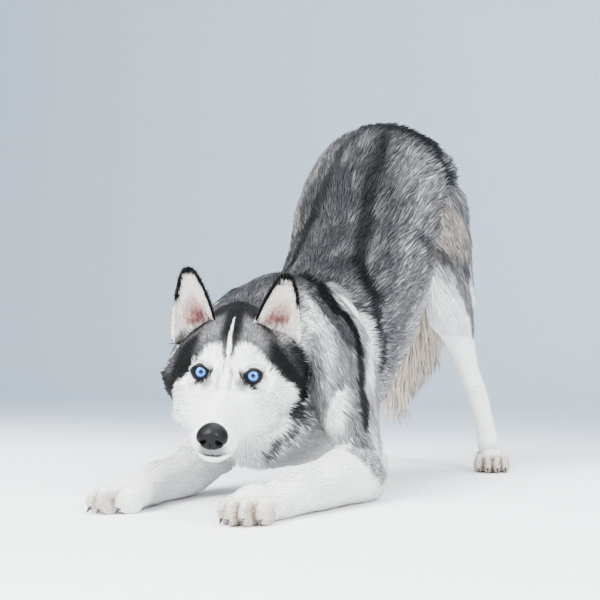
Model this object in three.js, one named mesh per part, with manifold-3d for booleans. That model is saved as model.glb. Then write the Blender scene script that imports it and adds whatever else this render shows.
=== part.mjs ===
// A Siberian husky in a play bow: forearms flat on the ground, rump high, tail hanging.
// Millimetres, +Z up, the dog faces -Y and its left side is +X.
import * as THREE from "three";
import { mergeVertices } from "three/addons/utils/BufferGeometryUtils.js";
import Module from "manifold-3d";

const wasm = await Module();
wasm.setup();

// Driving dimensions, read over the coat.
const joinGap = 0.3; // clear space between two neighbouring pieces
const eyeRadius = 11.5;
const eyeSpacing = 62; // between the centres of the two eyes
const headTurn = { yaw: 19, pitch: 20, roll: 4.5 }; // degrees: to its left, down, leaning left
const pawReach = { left: 0, right: 41 }; // how far behind the left paw each forepaw lies
const elbowLift = 26; // how far the right elbow stands off the ground
const pawWidth = { fore: 65, hind: 56 };
const earHeight = 74;
const earWidth = 70;
const earThickness = 4.4;
const noseWidth = 35;
const clawLength = 12;

// Locks of the longer coat. Each core lies inset under the outline that the tips reach.
const lockSizes = {
  ruff: { length: 62, width: 40, thickness: 12, lift: 11, inset: 16 },
  back: { length: 62, width: 42, thickness: 11, lift: 7, inset: 12 },
  brush: { length: 72, width: 34, thickness: 12, lift: 15, inset: 19 },
  cheek: { length: 42, width: 28, thickness: 8, lift: 5, inset: 3 },
  breeches: { length: 54, width: 34, thickness: 10, lift: 7, inset: 3 },
};
const lockSpread = 0.16; // share by which a lock's length and width vary
const lockDroop = 0.16; // share of its length by which a lock's tip hangs
const tipStretch = 5; // how much further a tip grows than the sides, which meet there at a slant

const { degToRad, lerp, smoothstep, seededRandom } = THREE.MathUtils;
const point = (x, y, z) => new THREE.Vector3(x, y, z);
const alongX = point(1, 0, 0);
const alongY = point(0, 1, 0);
const alongZ = point(0, 0, 1);

// Solids from closed meshes

function meshSolid(positions, triangles) {
  const made = new wasm.Manifold(
    new wasm.Mesh({
      numProp: 3,
      vertProperties: Float32Array.from(positions),
      triVerts: Uint32Array.from(triangles),
    }),
  );
  if (made.volume() > 0) return made;
  const turned = triangles.map((_, i) => triangles[i + [0, 1, -1][i % 3]]);
  return meshSolid(positions, turned);
}

function solidOf(geometry, matrix = new THREE.Matrix4()) {
  const bare = geometry.clone().applyMatrix4(matrix);
  bare.deleteAttribute("normal");
  bare.deleteAttribute("uv");
  const merged = mergeVertices(bare, 1e-3);
  return meshSolid(Array.from(merged.attributes.position.array), Array.from(merged.index.array));
}

const joined = (solids) => solids.reduce((whole, piece) => whole.add(piece));
const without = (solid, cuts) => cuts.reduce((rest, cut) => rest.subtract(cut), solid);
const largest = (solid) =>
  solid.decompose().reduce((best, piece) => (piece.volume() > best.volume() ? piece : best));

// The two sides of a plane, with a gap between them. Below zero the two sides overlap.
function splitAt(solid, place, normal, gap = joinGap) {
  const unit = normal.clone().normalize();
  const level = unit.dot(place);
  const ahead = solid.trimByPlane(unit.toArray(), level + gap / 2);
  const behind = solid.trimByPlane(unit.clone().negate().toArray(), -level + gap / 2);
  return [ahead, behind];
}

// A closed skin over rings of points. A ring of one point closes an end.
function ringSolid(rings) {
  const positions = [];
  const starts = rings.map((ring) => {
    const start = positions.length / 3;
    ring.forEach((p) => positions.push(p.x, p.y, p.z));
    return start;
  });
  const triangles = [];
  for (let k = 0; k + 1 < rings.length; k++) {
    const [near, far] = [rings[k].length, rings[k + 1].length];
    const sides = Math.max(near, far);
    for (let i = 0; i < sides; i++) {
      const next = (i + 1) % sides;
      const a = starts[k] + (near > 1 ? i : 0);
      const b = starts[k] + (near > 1 ? next : 0);
      const c = starts[k + 1] + (far > 1 ? next : 0);
      const d = starts[k + 1] + (far > 1 ? i : 0);
      if (near > 1) triangles.push(a, b, c);
      if (far > 1) triangles.push(a, c, d);
    }
  }
  return meshSolid(positions, triangles);
}

// Places along a body, with the share of full size there, so that both ends are rounded.
function roundedSteps(capShare, capRings, middleRings) {
  const cap = Array.from({ length: capRings }, (_, k) => {
    const turn = ((k / capRings) * Math.PI) / 2;
    return { t: capShare * (1 - Math.cos(turn)), size: Math.sin(turn) };
  });
  const middle = Array.from({ length: middleRings }, (_, k) => ({
    t: lerp(capShare, 1 - capShare, k / (middleRings - 1)),
    size: 1,
  }));
  const end = cap.map(({ t, size }) => ({ t: 1 - t, size })).reverse();
  return [...cap, ...middle, ...end];
}

// A body smoothly joined through stations [x, y, z, half width, height above, depth below].
// Its rings stand across its own path, or face along facing if that is given.
class Body {
  constructor(stations, options = {}) {
    const curve = (pick) => new THREE.CatmullRomCurve3(stations.map(pick), false, "catmullrom");
    this.centres = curve((s) => point(s[0], s[1], s[2]));
    this.spans = curve((s) => point(s[3], s[4], s[5]));
    this.facing = options.facing ?? null;
    this.pinch = options.pinch ?? (() => 0); // how much narrower a section is towards its top
    this.edit = options.edit ?? ((p) => p);
    this.detail = { sides: 14, rings: 10, capShare: 0.08, capRings: 3, ...options.detail };
  }

  // A place on the surface, or inset under it. Angle 0 is the side towards +X, 90 degrees is above.
  surface(t, angle, inset = 0, size = 1, grow = 0) {
    const ahead = this.facing ?? this.centres.getTangent(t);
    const upward = alongX.clone().cross(ahead).normalize();
    const sideways = ahead.clone().cross(upward).normalize();
    const { x: width, y: above, z: below } = this.spans.getPoint(t);
    const [c, s] = [Math.cos(angle), Math.sin(angle)];
    const narrowed = s > 0 ? width * (1 - this.pinch(t) * s * s) : width;
    const place = this.centres.getPoint(t);
    place.addScaledVector(sideways, (size * (narrowed - inset) + grow) * c);
    place.addScaledVector(upward, (size * ((s > 0 ? above : below) - inset) + grow) * s);
    return this.edit(place);
  }

  // The body as a solid, inset under its outline and then grown outwards all round.
  solid(grow = 0, inset = 0) {
    const { sides, rings, capShare, capRings } = this.detail;
    const made = roundedSteps(capShare, capRings, rings).map(({ t, size }) => {
      if (size === 0) {
        const ahead = this.facing ?? this.centres.getTangent(t);
        return [this.edit(this.centres.getPoint(t).addScaledVector(ahead, t === 0 ? -grow : grow))];
      }
      return Array.from({ length: sides }, (_, i) =>
        this.surface(t, (2 * Math.PI * (i + 0.5)) / sides, inset, size, grow * Math.min(1, size * 1.5)),
      );
    });
    return ringSolid(made);
  }

  // A root for a lock: its place, the way out of the surface and the way along the body.
  spot(t, angle, inset = 0) {
    const step = 0.01;
    const place = this.surface(t, angle, inset);
    const along = this.surface(t + step, angle).sub(this.surface(t - step, angle)).normalize();
    const round = this.surface(t, angle + step).sub(this.surface(t, angle - step));
    const out = along.clone().cross(round).normalize();
    if (out.dot(place.clone().sub(this.centres.getPoint(t))) < 0) out.negate();
    return { place, along, out };
  }
}

function egg(place, radii, turn = new THREE.Euler(), detail = [12, 8]) {
  const matrix = new THREE.Matrix4().compose(place, new THREE.Quaternion().setFromEuler(turn), radii);
  return solidOf(new THREE.SphereGeometry(1, detail[0], detail[1]), matrix);
}

// Moves a point by push where it is near place, fading out at radius.
function pressed(p, place, radius, push) {
  const fade = 1 - smoothstep(p.distanceTo(place) / radius, 0, 1);
  return p.addScaledVector(push, fade);
}

const mirror = (rows) => rows.map(([x, ...rest]) => [-x, ...rest]);

// Coat: tiers of flat, tapered locks. A tier is {t, from, to, count}, angles in degrees.

function plannedLocks(body, size, tiers, flow, seed) {
  seededRandom(seed);
  const vary = () => 1 + lockSpread * (2 * seededRandom() - 1);
  return tiers.flatMap(({ t, from, to, count }, tier) =>
    Array.from({ length: count }, (_, i) => {
      const share = (i + (tier % 2 ? 0.7 : 0.3) + 0.2 * (seededRandom() - 0.5)) / count;
      const spot = body.spot(t, degToRad(lerp(from, to, share)), size.inset);
      const lie = flow(spot);
      lie.addScaledVector(spot.out, -lie.dot(spot.out)).normalize();
      return { ...size, ...spot, lie, length: size.length * vary(), width: size.width * vary() };
    }),
  );
}

// One lock: sunk at its root, lifted off the surface, bent down and drawn to a point.
function lockSolid({ place, out, lie, length, width, thickness, lift, inset }, grow = 0) {
  const sunk = Math.max(8, inset);
  const path = new THREE.CatmullRomCurve3([
    place.clone().addScaledVector(out, -sunk).addScaledVector(lie, -0.08 * length),
    place.clone().addScaledVector(out, lift * 0.55).addScaledVector(lie, length * 0.3),
    place.clone().addScaledVector(out, lift).addScaledVector(lie, length * 0.68),
    place.clone().addScaledVector(out, lift * 0.9).addScaledVector(lie, length),
  ]);
  const shares = [0.7, 1, 0.75];
  const rings = shares.map((share, k) => {
    const t = k / shares.length;
    const centre = path.getPoint(t);
    centre.z -= lockDroop * length * t * t;
    const ahead = path.getTangent(t);
    const sideways = ahead.clone().cross(out).normalize();
    const facing = sideways.clone().cross(ahead).normalize();
    const [w, h] = [(share * width) / 2 + grow, (share * thickness) / 2 + grow];
    return [
      centre.clone().addScaledVector(sideways, w),
      centre.clone().addScaledVector(facing, h),
      centre.clone().addScaledVector(sideways, -w),
      centre.clone().addScaledVector(facing, -h),
    ];
  });
  const root = rings[0].reduce((sum, p) => sum.add(p), point(0, 0, 0)).divideScalar(4);
  const last = rings[2].reduce((sum, p) => sum.add(p), point(0, 0, 0)).divideScalar(4);
  const tip = path.getPoint(1);
  tip.z -= lockDroop * length;
  tip.addScaledVector(tip.clone().sub(last).normalize(), grow * tipStretch);
  return ringSolid([[root], ...rings, [tip]]);
}
const coatSolid = (locks, grow = 0) => joined(locks.map((lock) => lockSolid(lock, grow)));

// Torso: chest low between the forelegs, loin and croup rising behind

const torsoBody = new Body(
  [
    [0, 196, 142, 62, 60, 98],
    [0, 265, 150, 90, 98, 116],
    [0, 340, 166, 101, 106, 132],
    [0, 419, 186, 104, 112, 134],
    [0, 495, 232, 106, 112, 120],
    [0, 565, 292, 107, 114, 120],
    [0, 623, 356, 114, 114, 110],
    [0, 668, 416, 118, 100, 98],
    [0, 716, 438, 110, 88, 92],
    [0, 776, 428, 66, 56, 60],
  ],
  { pinch: (t) => lerp(0.5, 0.12, t), detail: { sides: 14, rings: 11, capShare: 0.07 } },
);
const backward = ({ along }) => along.clone().addScaledVector(alongZ, -0.25);
const chestLocks = plannedLocks(
  torsoBody,
  lockSizes.back,
  [
    { t: 0.39, from: 40, to: 140, count: 3 },
    { t: 0.46, from: 0, to: 180, count: 6 },
    { t: 0.46, from: 225, to: 315, count: 3 },
    { t: 0.54, from: -5, to: 185, count: 6 },
  ],
  backward,
  11,
);
const loinLocks = plannedLocks(
  torsoBody,
  lockSizes.back,
  [
    { t: 0.62, from: 5, to: 175, count: 6 },
    { t: 0.61, from: 235, to: 305, count: 3 },
    { t: 0.7, from: 10, to: 170, count: 6 },
    { t: 0.78, from: 10, to: 170, count: 6 },
    { t: 0.86, from: 15, to: 165, count: 5 },
  ],
  backward,
  12,
);

// Neck, with its ruff and the bib under the throat

const neckBody = new Body(
  [
    [-2, 190, 190, 80, 64, 112],
    [-3, 226, 198, 92, 76, 136],
    [-1, 268, 204, 94, 80, 140],
    [0, 318, 210, 88, 78, 124],
    [0, 372, 218, 70, 66, 88],
  ],
  { pinch: () => 0.25, detail: { sides: 16, rings: 5, capShare: 0.16 } },
);
const neckLocks = plannedLocks(
  neckBody,
  lockSizes.ruff,
  [
    { t: 0.14, from: 205, to: 335, count: 5 },
    { t: 0.3, from: -20, to: 200, count: 7 },
    { t: 0.44, from: 5, to: 175, count: 6 },
    { t: 0.58, from: 35, to: 145, count: 4 },
  ],
  ({ along, out }) => along.clone().addScaledVector(alongZ, -0.35 - 0.4 * Math.abs(out.x)),
  13,
);

// Head, in its own frame: origin midway between the eyes, -Y along the muzzle

const headMatrix = new THREE.Matrix4()
  .makeRotationFromEuler(
    new THREE.Euler(degToRad(headTurn.pitch), degToRad(headTurn.roll), degToRad(headTurn.yaw), "ZXY"),
  )
  .setPosition(26, 122, 164);
const headSolid = (solid) => solid.transform(headMatrix.toArray());

// The skull is narrower than the cheeks, and the brows stand over the sockets.
function headEdit(p) {
  const upper = smoothstep(p.z, -5, 62) * smoothstep(p.y, -30, 20);
  p.x *= 1 - 0.36 * upper;
  for (const side of [-1, 1]) {
    pressed(p, point(side * 34, -8, 6), 24, point(-side * 3, 9, -4)); // eye socket
    pressed(p, point(side * 22, 4, 26), 24, point(side * 2, -7, 3)); // brow
    pressed(p, point(side * 22, -88, -50), 22, point(side * 4, 0, 0)); // upper lip
    pressed(p, point(side * 60, 34, -30), 40, point(side * 5, -4, 0)); // cheek
  }
  pressed(p, point(0, 6, 22), 26, point(0, 5, -4)); // furrow between the brows
  return p;
}
const headRows = [
  [0, -112, -48, 16, 18, 17],
  [0, -92, -46, 25, 25, 27],
  [0, -62, -45, 29, 30, 30],
  [0, -34, -42, 37, 34, 36],
  [0, -12, -36, 51, 40, 44],
  [0, 12, -28, 67, 54, 54],
  [0, 40, -20, 78, 70, 62],
  [0, 74, -14, 80, 80, 66],
  [0, 108, -12, 72, 76, 62],
  [0, 142, -10, 50, 54, 42],
];
const headShell = (detail) => new Body(headRows, { edit: headEdit, detail: { capShare: 0.05, ...detail } });
const headBody = headShell({ sides: 22, rings: 15 });
const headLining = headShell({ sides: 12, rings: 9 });

const cheekLocks = [-1, 1].flatMap((side) =>
  plannedLocks(
    headBody,
    lockSizes.cheek,
    [
      { t: 0.58, from: 90 - side * 95, to: 90 - side * 150, count: 3 },
      { t: 0.7, from: 90 - side * 78, to: 90 - side * 156, count: 4 },
    ],
    ({ along }) => along.clone().addScaledVector(alongZ, -0.9),
    15 + side,
  ),
);

const eyePlaces = [-1, 1].map((side) => ({ side, place: point((side * eyeSpacing) / 2, 0, 0) }));
const eyeBall = ({ place }, grow = 0) => {
  const radius = eyeRadius + grow;
  return egg(place, point(radius, radius, radius), new THREE.Euler(degToRad(90), 0, 0), [12, 8]);
};

// An almond ring round each eye, its outer corner raised.
function lidRing({ side, place }) {
  const ring = new THREE.TorusGeometry(eyeRadius * 1.02, 4.2, 5, 12);
  const slant = new THREE.Euler(degToRad(84), degToRad(side * -12), degToRad(side * 24), "ZXY");
  const centre = place.clone().add(point(0, -4.5, 0));
  const turn = new THREE.Quaternion().setFromEuler(slant);
  return solidOf(ring, new THREE.Matrix4().compose(centre, turn, point(1.08, 0.82, 1.1)));
}

// Nose leather with its two nostrils
const noseHalf = noseWidth / 2;
const noseBody = new Body(
  [
    [0, -118, -35, noseHalf * 0.5, 8, 8],
    [0, -113, -34, noseHalf - 2, 13, 11],
    [0, -105, -33, noseHalf, 14, 13],
    [0, -94, -32, noseHalf - 3, 12, 10],
  ],
  { facing: alongY, detail: { sides: 12, rings: 4, capShare: 0.12, capRings: 2 } },
);
const nostrils = [-1, 1].map((side) =>
  egg(point(side * 8.5, -118, -35), point(4.2, 9, 3.4), new THREE.Euler(0, degToRad(side * 30), 0), [8, 6]),
);

// The mouth is a groove round the muzzle, rising to its corners below the eyes.
function mouthGroove() {
  const line = new THREE.CatmullRomCurve3([
    point(0, -125, -62),
    point(0, -104, -61),
    point(0, -70, -58),
    point(0, -38, -50),
  ]);
  const [half, steps, reach] = [0.8, 6, 60];
  const lower = line.getPoints(steps).map((p) => new THREE.Vector2(p.y, p.z - half));
  const upper = line.getPoints(steps).map((p) => new THREE.Vector2(p.y, p.z + half));
  const outline = new THREE.Shape([...lower, ...upper.reverse()]);
  const band = new THREE.ExtrudeGeometry(outline, { depth: 2 * reach, bevelEnabled: false });
  const turn = new THREE.Matrix4().makeBasis(alongY, alongZ, alongX).setPosition(-reach, 0, 0);
  return solidOf(band, turn).subtract(headLining.solid(0, 3.5));
}

// Ears: cups of even thickness, open to the front
function earSolid(side) {
  const [acrossCount, alongCount] = [8, 6];
  const root = point(side * 48, 60, 24);
  const tip = point(side * 60, 66, 34 + earHeight);
  const upward = tip.clone().sub(root).normalize();
  const outward = point(side, 0.24, 0);
  const rearward = outward.clone().cross(upward).multiplyScalar(-side).normalize();
  const sideways = rearward.clone().cross(upward).normalize();
  const face = (offset) =>
    Array.from({ length: alongCount + 1 }, (_, j) => {
      const v = j / alongCount;
      const halfWidth = (earWidth / 2) * Math.pow(1 - v, 0.56) * (0.9 + 0.1 * v) + earThickness / 2;
      const cup = 17 * Math.pow(1 - v, 0.8) + 1;
      return Array.from({ length: acrossCount + 1 }, (_, i) => {
        const u = ((2 * i) / acrossCount - 1) * (Math.PI / 2);
        return root
          .clone()
          .addScaledVector(upward, tip.distanceTo(root) * v)
          .addScaledVector(sideways, halfWidth * Math.sin(u))
          .addScaledVector(rearward, cup * Math.cos(u) + offset);
      });
    });
  const [front, back] = [face(-earThickness / 2), face(earThickness / 2)];
  const middle = acrossCount / 2;
  const closing = (j) => [front[j][middle].clone().lerp(back[j][middle], 0.5)];
  const rings = front.map((row, j) => [...row, ...back[j].slice().reverse()]);
  return ringSolid([closing(0), ...rings, closing(alongCount)]);
}

const headCore = without(joined([headBody.solid(), ...eyePlaces.map(lidRing), coatSolid(cheekLocks)]), [
  ...eyePlaces.map((eye) => eyeBall(eye, joinGap)),
  noseBody.solid(joinGap),
  mouthGroove(),
]);
const headGrown = headSolid(headBody.solid(joinGap).add(coatSolid(cheekLocks, joinGap)));

// Forelegs: the forearm lies on the ground from paw to elbow

const forearmRows = [
  [96, 44, 20, 25, 18, 22],
  [101, 92, 22, 25, 21, 26],
  [106, 140, 26, 26, 28, 28],
  [110, 195, 31, 28, 29, 33],
  [114, 250, 36, 32, 38, 38],
  [117, 302, 40, 34, 45, 44],
  [116, 354, 34, 26, 38, 36],
];
const upperArmRows = [
  [116, 320, 16, 27, 30, 28],
  [115, 312, 56, 33, 45, 40],
  [110, 297, 96, 39, 60, 53],
  [102, 292, 146, 45, 76, 72],
  [88, 300, 196, 45, 84, 78],
  [66, 322, 238, 40, 76, 72],
  [44, 350, 276, 28, 52, 48],
];

// The right foreleg lies further back with its elbow off the ground, which fades out up the shoulder.
function foreRows(rows, side) {
  const shift = side > 0 ? pawReach.left : pawReach.right;
  const raised = side > 0 ? 0 : elbowLift;
  return rows.map(([x, y, z, ...sizes]) => [
    side * x,
    y + shift * (1 - smoothstep(z, 40, 220)),
    z + raised * smoothstep(y, 230, 350) * (1 - smoothstep(z, 60, 160)),
    ...sizes,
  ]);
}
const upperArm = (side) =>
  new Body(foreRows(upperArmRows, side), { facing: alongZ, detail: { sides: 14, rings: 7 } });
const forearm = (side) =>
  new Body(foreRows(forearmRows, side), {
    facing: alongY,
    detail: { sides: 12, rings: 6, capShare: 0.05, capRings: 2 },
  });

// A paw: four toes over a broad instep, flat underneath. Its toes point along -Y in its own
// frame, and its sizes are those of a paw 62 wide.

const toeSpots = [
  { x: -22, y: 20, size: 0.9 },
  { x: -8, y: 6, size: 1 },
  { x: 8, y: 6, size: 1 },
  { x: 22, y: 20, size: 0.9 },
];
const pawFrame = (x, y, turn) => new THREE.Matrix4().makeRotationZ(degToRad(turn)).setPosition(x, y, 0);
const foreFrames = {
  left: pawFrame(97, 12 + pawReach.left, 6),
  right: pawFrame(-107, 10 + pawReach.right, -14),
};
const hindFrames = { left: pawFrame(141, 752, 22), right: pawFrame(-141, 752, -22) };

function toeSolid({ x, y, size }, unit, grow = 0) {
  const reach = size * unit;
  const radii = point(9.5 * reach + grow, 24 * reach + grow, 17 * reach + grow);
  return egg(point(x * unit, y * unit + 8 * reach, 14 * reach), radii, new THREE.Euler(degToRad(-14), 0, 0), [7, 5]);
}

function clawSolid({ x, y, size }, unit) {
  const reach = size * unit;
  const rows = [0, 0.35, 0.7, 1].map((v) => {
    const radius = lerp(3.4, 0.9, v) * reach;
    const place = [x * unit, y * unit - 12 * reach - clawLength * (v - 0.25), 12 * reach - 8.5 * v * v];
    return [...place, radius * 0.8, radius, radius];
  });
  return new Body(rows, { detail: { sides: 5, rings: 3, capShare: 0.1, capRings: 1 } }).solid();
}

// The placed pieces of a paw: the toes with the instep, then one claw for each toe.
function pawParts(width, frame) {
  const unit = width / 62;
  const slope = new THREE.Euler(degToRad(14), 0, 0);
  const instep = egg(point(0, 48 * unit, 19 * unit), point(27, 38, 21).multiplyScalar(unit), slope, [9, 6]);
  const placed = (solid) => solid.transform(frame.toArray());
  return {
    paw: placed(joined([instep, ...toeSpots.map((toe) => toeSolid(toe, unit))])),
    claws: toeSpots.map((toe) => placed(clawSolid(toe, unit).subtract(toeSolid(toe, unit, joinGap)))),
  };
}

// Hind legs: thigh, shank, hock and pastern, ring by ring above the ground

const hindRows = [
  [124, 786, 22, 20, 22, 22],
  [121, 783, 60, 17, 19, 19],
  [114, 777, 98, 17, 20, 19],
  [108, 768, 128, 18, 28, 24],
  [103, 756, 152, 18, 27, 25],
  [99, 738, 184, 22, 34, 36],
  [96, 705, 222, 30, 60, 58],
  [91, 698, 262, 38, 66, 62],
  [85, 692, 302, 46, 76, 66],
  [78, 692, 342, 51, 86, 73],
  [70, 694, 382, 54, 88, 80],
  [60, 694, 422, 54, 82, 80],
  [46, 694, 462, 44, 62, 62],
];
const hindLeg = (side) =>
  new Body(side > 0 ? hindRows : mirror(hindRows), {
    facing: alongZ,
    detail: { sides: 12, rings: 13, capShare: 0.05 },
  });
const breechLocks = (side) =>
  plannedLocks(
    hindLeg(side),
    lockSizes.breeches,
    [
      { t: 0.64, from: 240, to: 300, count: 2 },
      { t: 0.73, from: 235, to: 305, count: 3 },
      { t: 0.82, from: 235, to: 305, count: 3 },
    ],
    ({ along }) => along.clone().negate(),
    20 + side,
  );

// Tail: a full brush that hangs behind the hind legs

const tailBody = new Body(
  [
    [0, 735, 474, 28, 26, 26],
    [0, 782, 444, 34, 32, 32],
    [0, 812, 392, 42, 40, 40],
    [0, 822, 326, 50, 48, 48],
    [-4, 818, 256, 52, 50, 50],
    [-14, 806, 190, 46, 44, 44],
    [-26, 790, 134, 30, 28, 28],
    [-30, 786, 114, 24, 23, 23],
  ],
  { detail: { sides: 10, rings: 8, capShare: 0.05 } },
);
const tailLocks = plannedLocks(
  tailBody,
  lockSizes.brush,
  [
    { t: 0.3, from: 0, to: 360, count: 5 },
    { t: 0.44, from: 0, to: 360, count: 6 },
    { t: 0.58, from: 0, to: 360, count: 6 },
    { t: 0.7, from: 0, to: 360, count: 6 },
    { t: 0.82, from: 0, to: 360, count: 4 },
  ],
  ({ along }) => along.clone(),
  14,
);

// Parting the whole into its nodes. Hair lies backward: the locks of a piece end where they meet
// the core behind it, and the locks behind end under those ahead of them.

const solids = new Map();
const keep = (name, solid, finish) =>
  solids.set(name, { solid: largest(solid.trimByPlane(alongZ.toArray(), 0)), finish });

const sides = [
  { name: "left", side: 1 },
  { name: "right", side: -1 },
];
const armsGrown = sides.map(({ side }) => upperArm(side).solid(joinGap));
const legsGrown = sides.map(({ side }) => hindLeg(side).solid(joinGap));
const neckGrown = neckBody.solid(joinGap, lockSizes.ruff.inset);
const torsoGrown = torsoBody.solid(joinGap, lockSizes.back.inset);
const neckCoatGrown = coatSolid(neckLocks, joinGap);
const chestCoatGrown = coatSolid(chestLocks, joinGap);
const loinCoatGrown = coatSolid(loinLocks, joinGap);

const throatPlane = [point(0, 262, 200), point(0, -0.86, 0.5)];
const waistPlane = [point(0, 548, 300), point(0, 0.72, 0.7)];
const trunk = neckBody.solid(0, lockSizes.ruff.inset).add(torsoBody.solid(0, lockSizes.back.inset));
const [neckCore, torsoCore] = splitAt(trunk, ...throatPlane);
const [loinCore, chestCore] = splitAt(torsoCore, ...waistPlane);
const behindNeck = splitAt(neckGrown.add(torsoGrown), ...throatPlane, -joinGap)[1];
const behindChest = splitAt(torsoGrown, ...waistPlane, -joinGap)[0];

const ruff = coatSolid(neckLocks).subtract(behindNeck);
keep("neck", without(neckCore.add(ruff), [headGrown, ...armsGrown]), "greyCoat");
const chestCoat = without(coatSolid(chestLocks), [neckCoatGrown, behindChest]);
keep("chest", without(chestCore.add(chestCoat), [headGrown, ...armsGrown]), "greyCoat");
const loinCoat = coatSolid(loinLocks).subtract(chestCoatGrown);
keep("loin", without(loinCore.add(loinCoat), legsGrown), "greyCoat");

for (const { name, side } of sides) {
  const arm = upperArm(side);
  const fore = pawParts(pawWidth.fore, foreFrames[name]);
  const lowArm = forearm(side).solid().subtract(arm.solid(joinGap)).add(fore.paw);
  const wrist = point(0, 84 + pawReach[name], 0);
  const [forepaw, armBelowElbow] = splitAt(lowArm, wrist, point(0, -1, 0));
  keep("upper_arm_" + name, arm.solid().subtract(headGrown), "greyCoat");
  keep("forearm_" + name, armBelowElbow, "whiteCoat");

  const hind = pawParts(pawWidth.hind, hindFrames[name]);
  const breeches = without(coatSolid(breechLocks(side)), [torsoGrown, loinCoatGrown]);
  const leg = joined([hindLeg(side).solid(), hind.paw, breeches]);
  const [thigh, belowKnee] = splitAt(leg, point(0, 0, 268), alongZ);
  const [shank, belowHock] = splitAt(belowKnee, point(0, 0, 118), alongZ);
  const [pastern, hindPaw] = splitAt(belowHock, point(0, 0, 50), alongZ);
  keep("thigh_" + name, thigh, "greyCoat");
  keep("shank_" + name, shank, "greyCoat");
  keep("hind_pastern_" + name, pastern, "whiteCoat");

  for (const [label, paw, claws] of [
    ["forepaw_" + name, forepaw, fore.claws],
    ["hind_paw_" + name, hindPaw, hind.claws],
  ]) {
    keep(label, paw, "whiteCoat");
    claws.forEach((claw, i) => keep(`${label}_claw_${i + 1}`, claw, "claw"));
  }
}

const breechesGrown = sides.map(({ side }) => coatSolid(breechLocks(side), joinGap));
const tail = tailBody.solid(0, lockSizes.brush.inset).add(coatSolid(tailLocks));
keep("tail", without(tail, [torsoGrown, loinCoatGrown, ...legsGrown, ...breechesGrown]), "greyCoat");

keep("head", headSolid(headCore), "whiteCoat");
keep("nose", headSolid(without(noseBody.solid(), nostrils)), "leather");
for (const eye of eyePlaces) {
  const name = eye.side > 0 ? "left" : "right";
  keep("eye_" + name, headSolid(eyeBall(eye)), "eye");
  const ear = without(headSolid(earSolid(eye.side)), [headGrown, neckGrown, neckCoatGrown, torsoGrown]);
  keep("ear_" + name, ear, "greyCoat");
}

// The scene graph, centred over its own footprint

const finishes = {
  greyCoat: { color: 0x77797c, roughness: 0.85 },
  whiteCoat: { color: 0xe9e8e4, roughness: 0.85 },
  eye: { color: 0x6fb4e8, roughness: 0.1 },
  leather: { color: 0x2b2c30, roughness: 0.45 },
  claw: { color: 0x3a3532, roughness: 0.4 },
};
const husky = new THREE.Group();
for (const [name, { solid, finish }] of solids) {
  const { numProp, vertProperties, triVerts } = solid.getMesh();
  const positions = new Float32Array((vertProperties.length / numProp) * 3);
  for (let i = 0; i < positions.length / 3; i++) {
    positions.set(vertProperties.subarray(i * numProp, i * numProp + 3), i * 3);
  }
  const geometry = new THREE.BufferGeometry();
  geometry.setAttribute("position", new THREE.BufferAttribute(positions, 3));
  geometry.setIndex(new THREE.BufferAttribute(triVerts, 1));
  geometry.computeVertexNormals();
  const mesh = new THREE.Mesh(geometry, new THREE.MeshStandardMaterial({ metalness: 0, ...finishes[finish] }));
  mesh.name = name;
  husky.add(mesh);
}
const box = new THREE.Box3().setFromObject(husky);
husky.position.set(-(box.min.x + box.max.x) / 2, -(box.min.y + box.max.y) / 2, -box.min.z);

export default husky;
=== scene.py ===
# A Siberian husky in a play bow: one skin over the whole body, eyes, nose, claws and a tufted coat.
# Shapes are worked out in millimetres around the left forepaw, then moved into the frame in metres.
import math
import bpy
import numpy as np
from mathutils import Euler, Matrix, Vector, kdtree


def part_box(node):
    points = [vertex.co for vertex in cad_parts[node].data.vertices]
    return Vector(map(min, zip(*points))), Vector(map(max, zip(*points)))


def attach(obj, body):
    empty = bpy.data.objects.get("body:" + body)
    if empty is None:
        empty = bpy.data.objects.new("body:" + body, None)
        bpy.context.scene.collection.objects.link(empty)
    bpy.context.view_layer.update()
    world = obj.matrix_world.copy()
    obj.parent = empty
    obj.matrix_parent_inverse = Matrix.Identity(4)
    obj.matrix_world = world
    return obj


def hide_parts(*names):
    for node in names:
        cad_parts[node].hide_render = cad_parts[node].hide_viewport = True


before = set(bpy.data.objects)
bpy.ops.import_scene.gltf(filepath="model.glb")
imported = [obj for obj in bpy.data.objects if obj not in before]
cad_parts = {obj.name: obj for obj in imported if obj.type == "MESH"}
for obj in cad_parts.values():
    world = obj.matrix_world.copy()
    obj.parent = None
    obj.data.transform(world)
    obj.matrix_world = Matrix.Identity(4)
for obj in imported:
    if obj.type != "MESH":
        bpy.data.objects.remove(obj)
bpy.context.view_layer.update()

print("frame loaded,", len(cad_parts), "nodes")


# Small helpers

def vec(*values):
    return np.array(values, float)


def unit(rows):
    rows = np.asarray(rows, float)
    size = np.linalg.norm(rows, axis=-1, keepdims=True)
    return rows / np.maximum(size, 1e-9)


def fade(values, low, high):
    # 0 up to low, 1 from high on, and smooth between them
    share = np.clip((np.asarray(values, float) - low) / (high - low), 0, 1)
    return share * share * (3 - 2 * share)


eyeCurve = 0.45  # tones mix as the eye sees them, so half way to black is a mid grey


def layered(places, base, *layers):
    # a base tone with others laid over it, each with its mask
    colour = np.broadcast_to(base, (len(places), 3))
    for mask, target in layers:
        share = np.asarray(mask)[:, None]
        mixed = (1 - share) * colour**eyeCurve + share * np.asarray(target) ** eyeCurve
        colour = mixed ** (1 / eyeCurve)
    return colour


def tone(red, green, blue):
    # a colour read from 0 to 255, as linear light
    share = vec(red, green, blue) / 255
    return np.where(share < 0.04045, share / 12.92, ((share + 0.055) / 1.055) ** 2.4)


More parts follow.
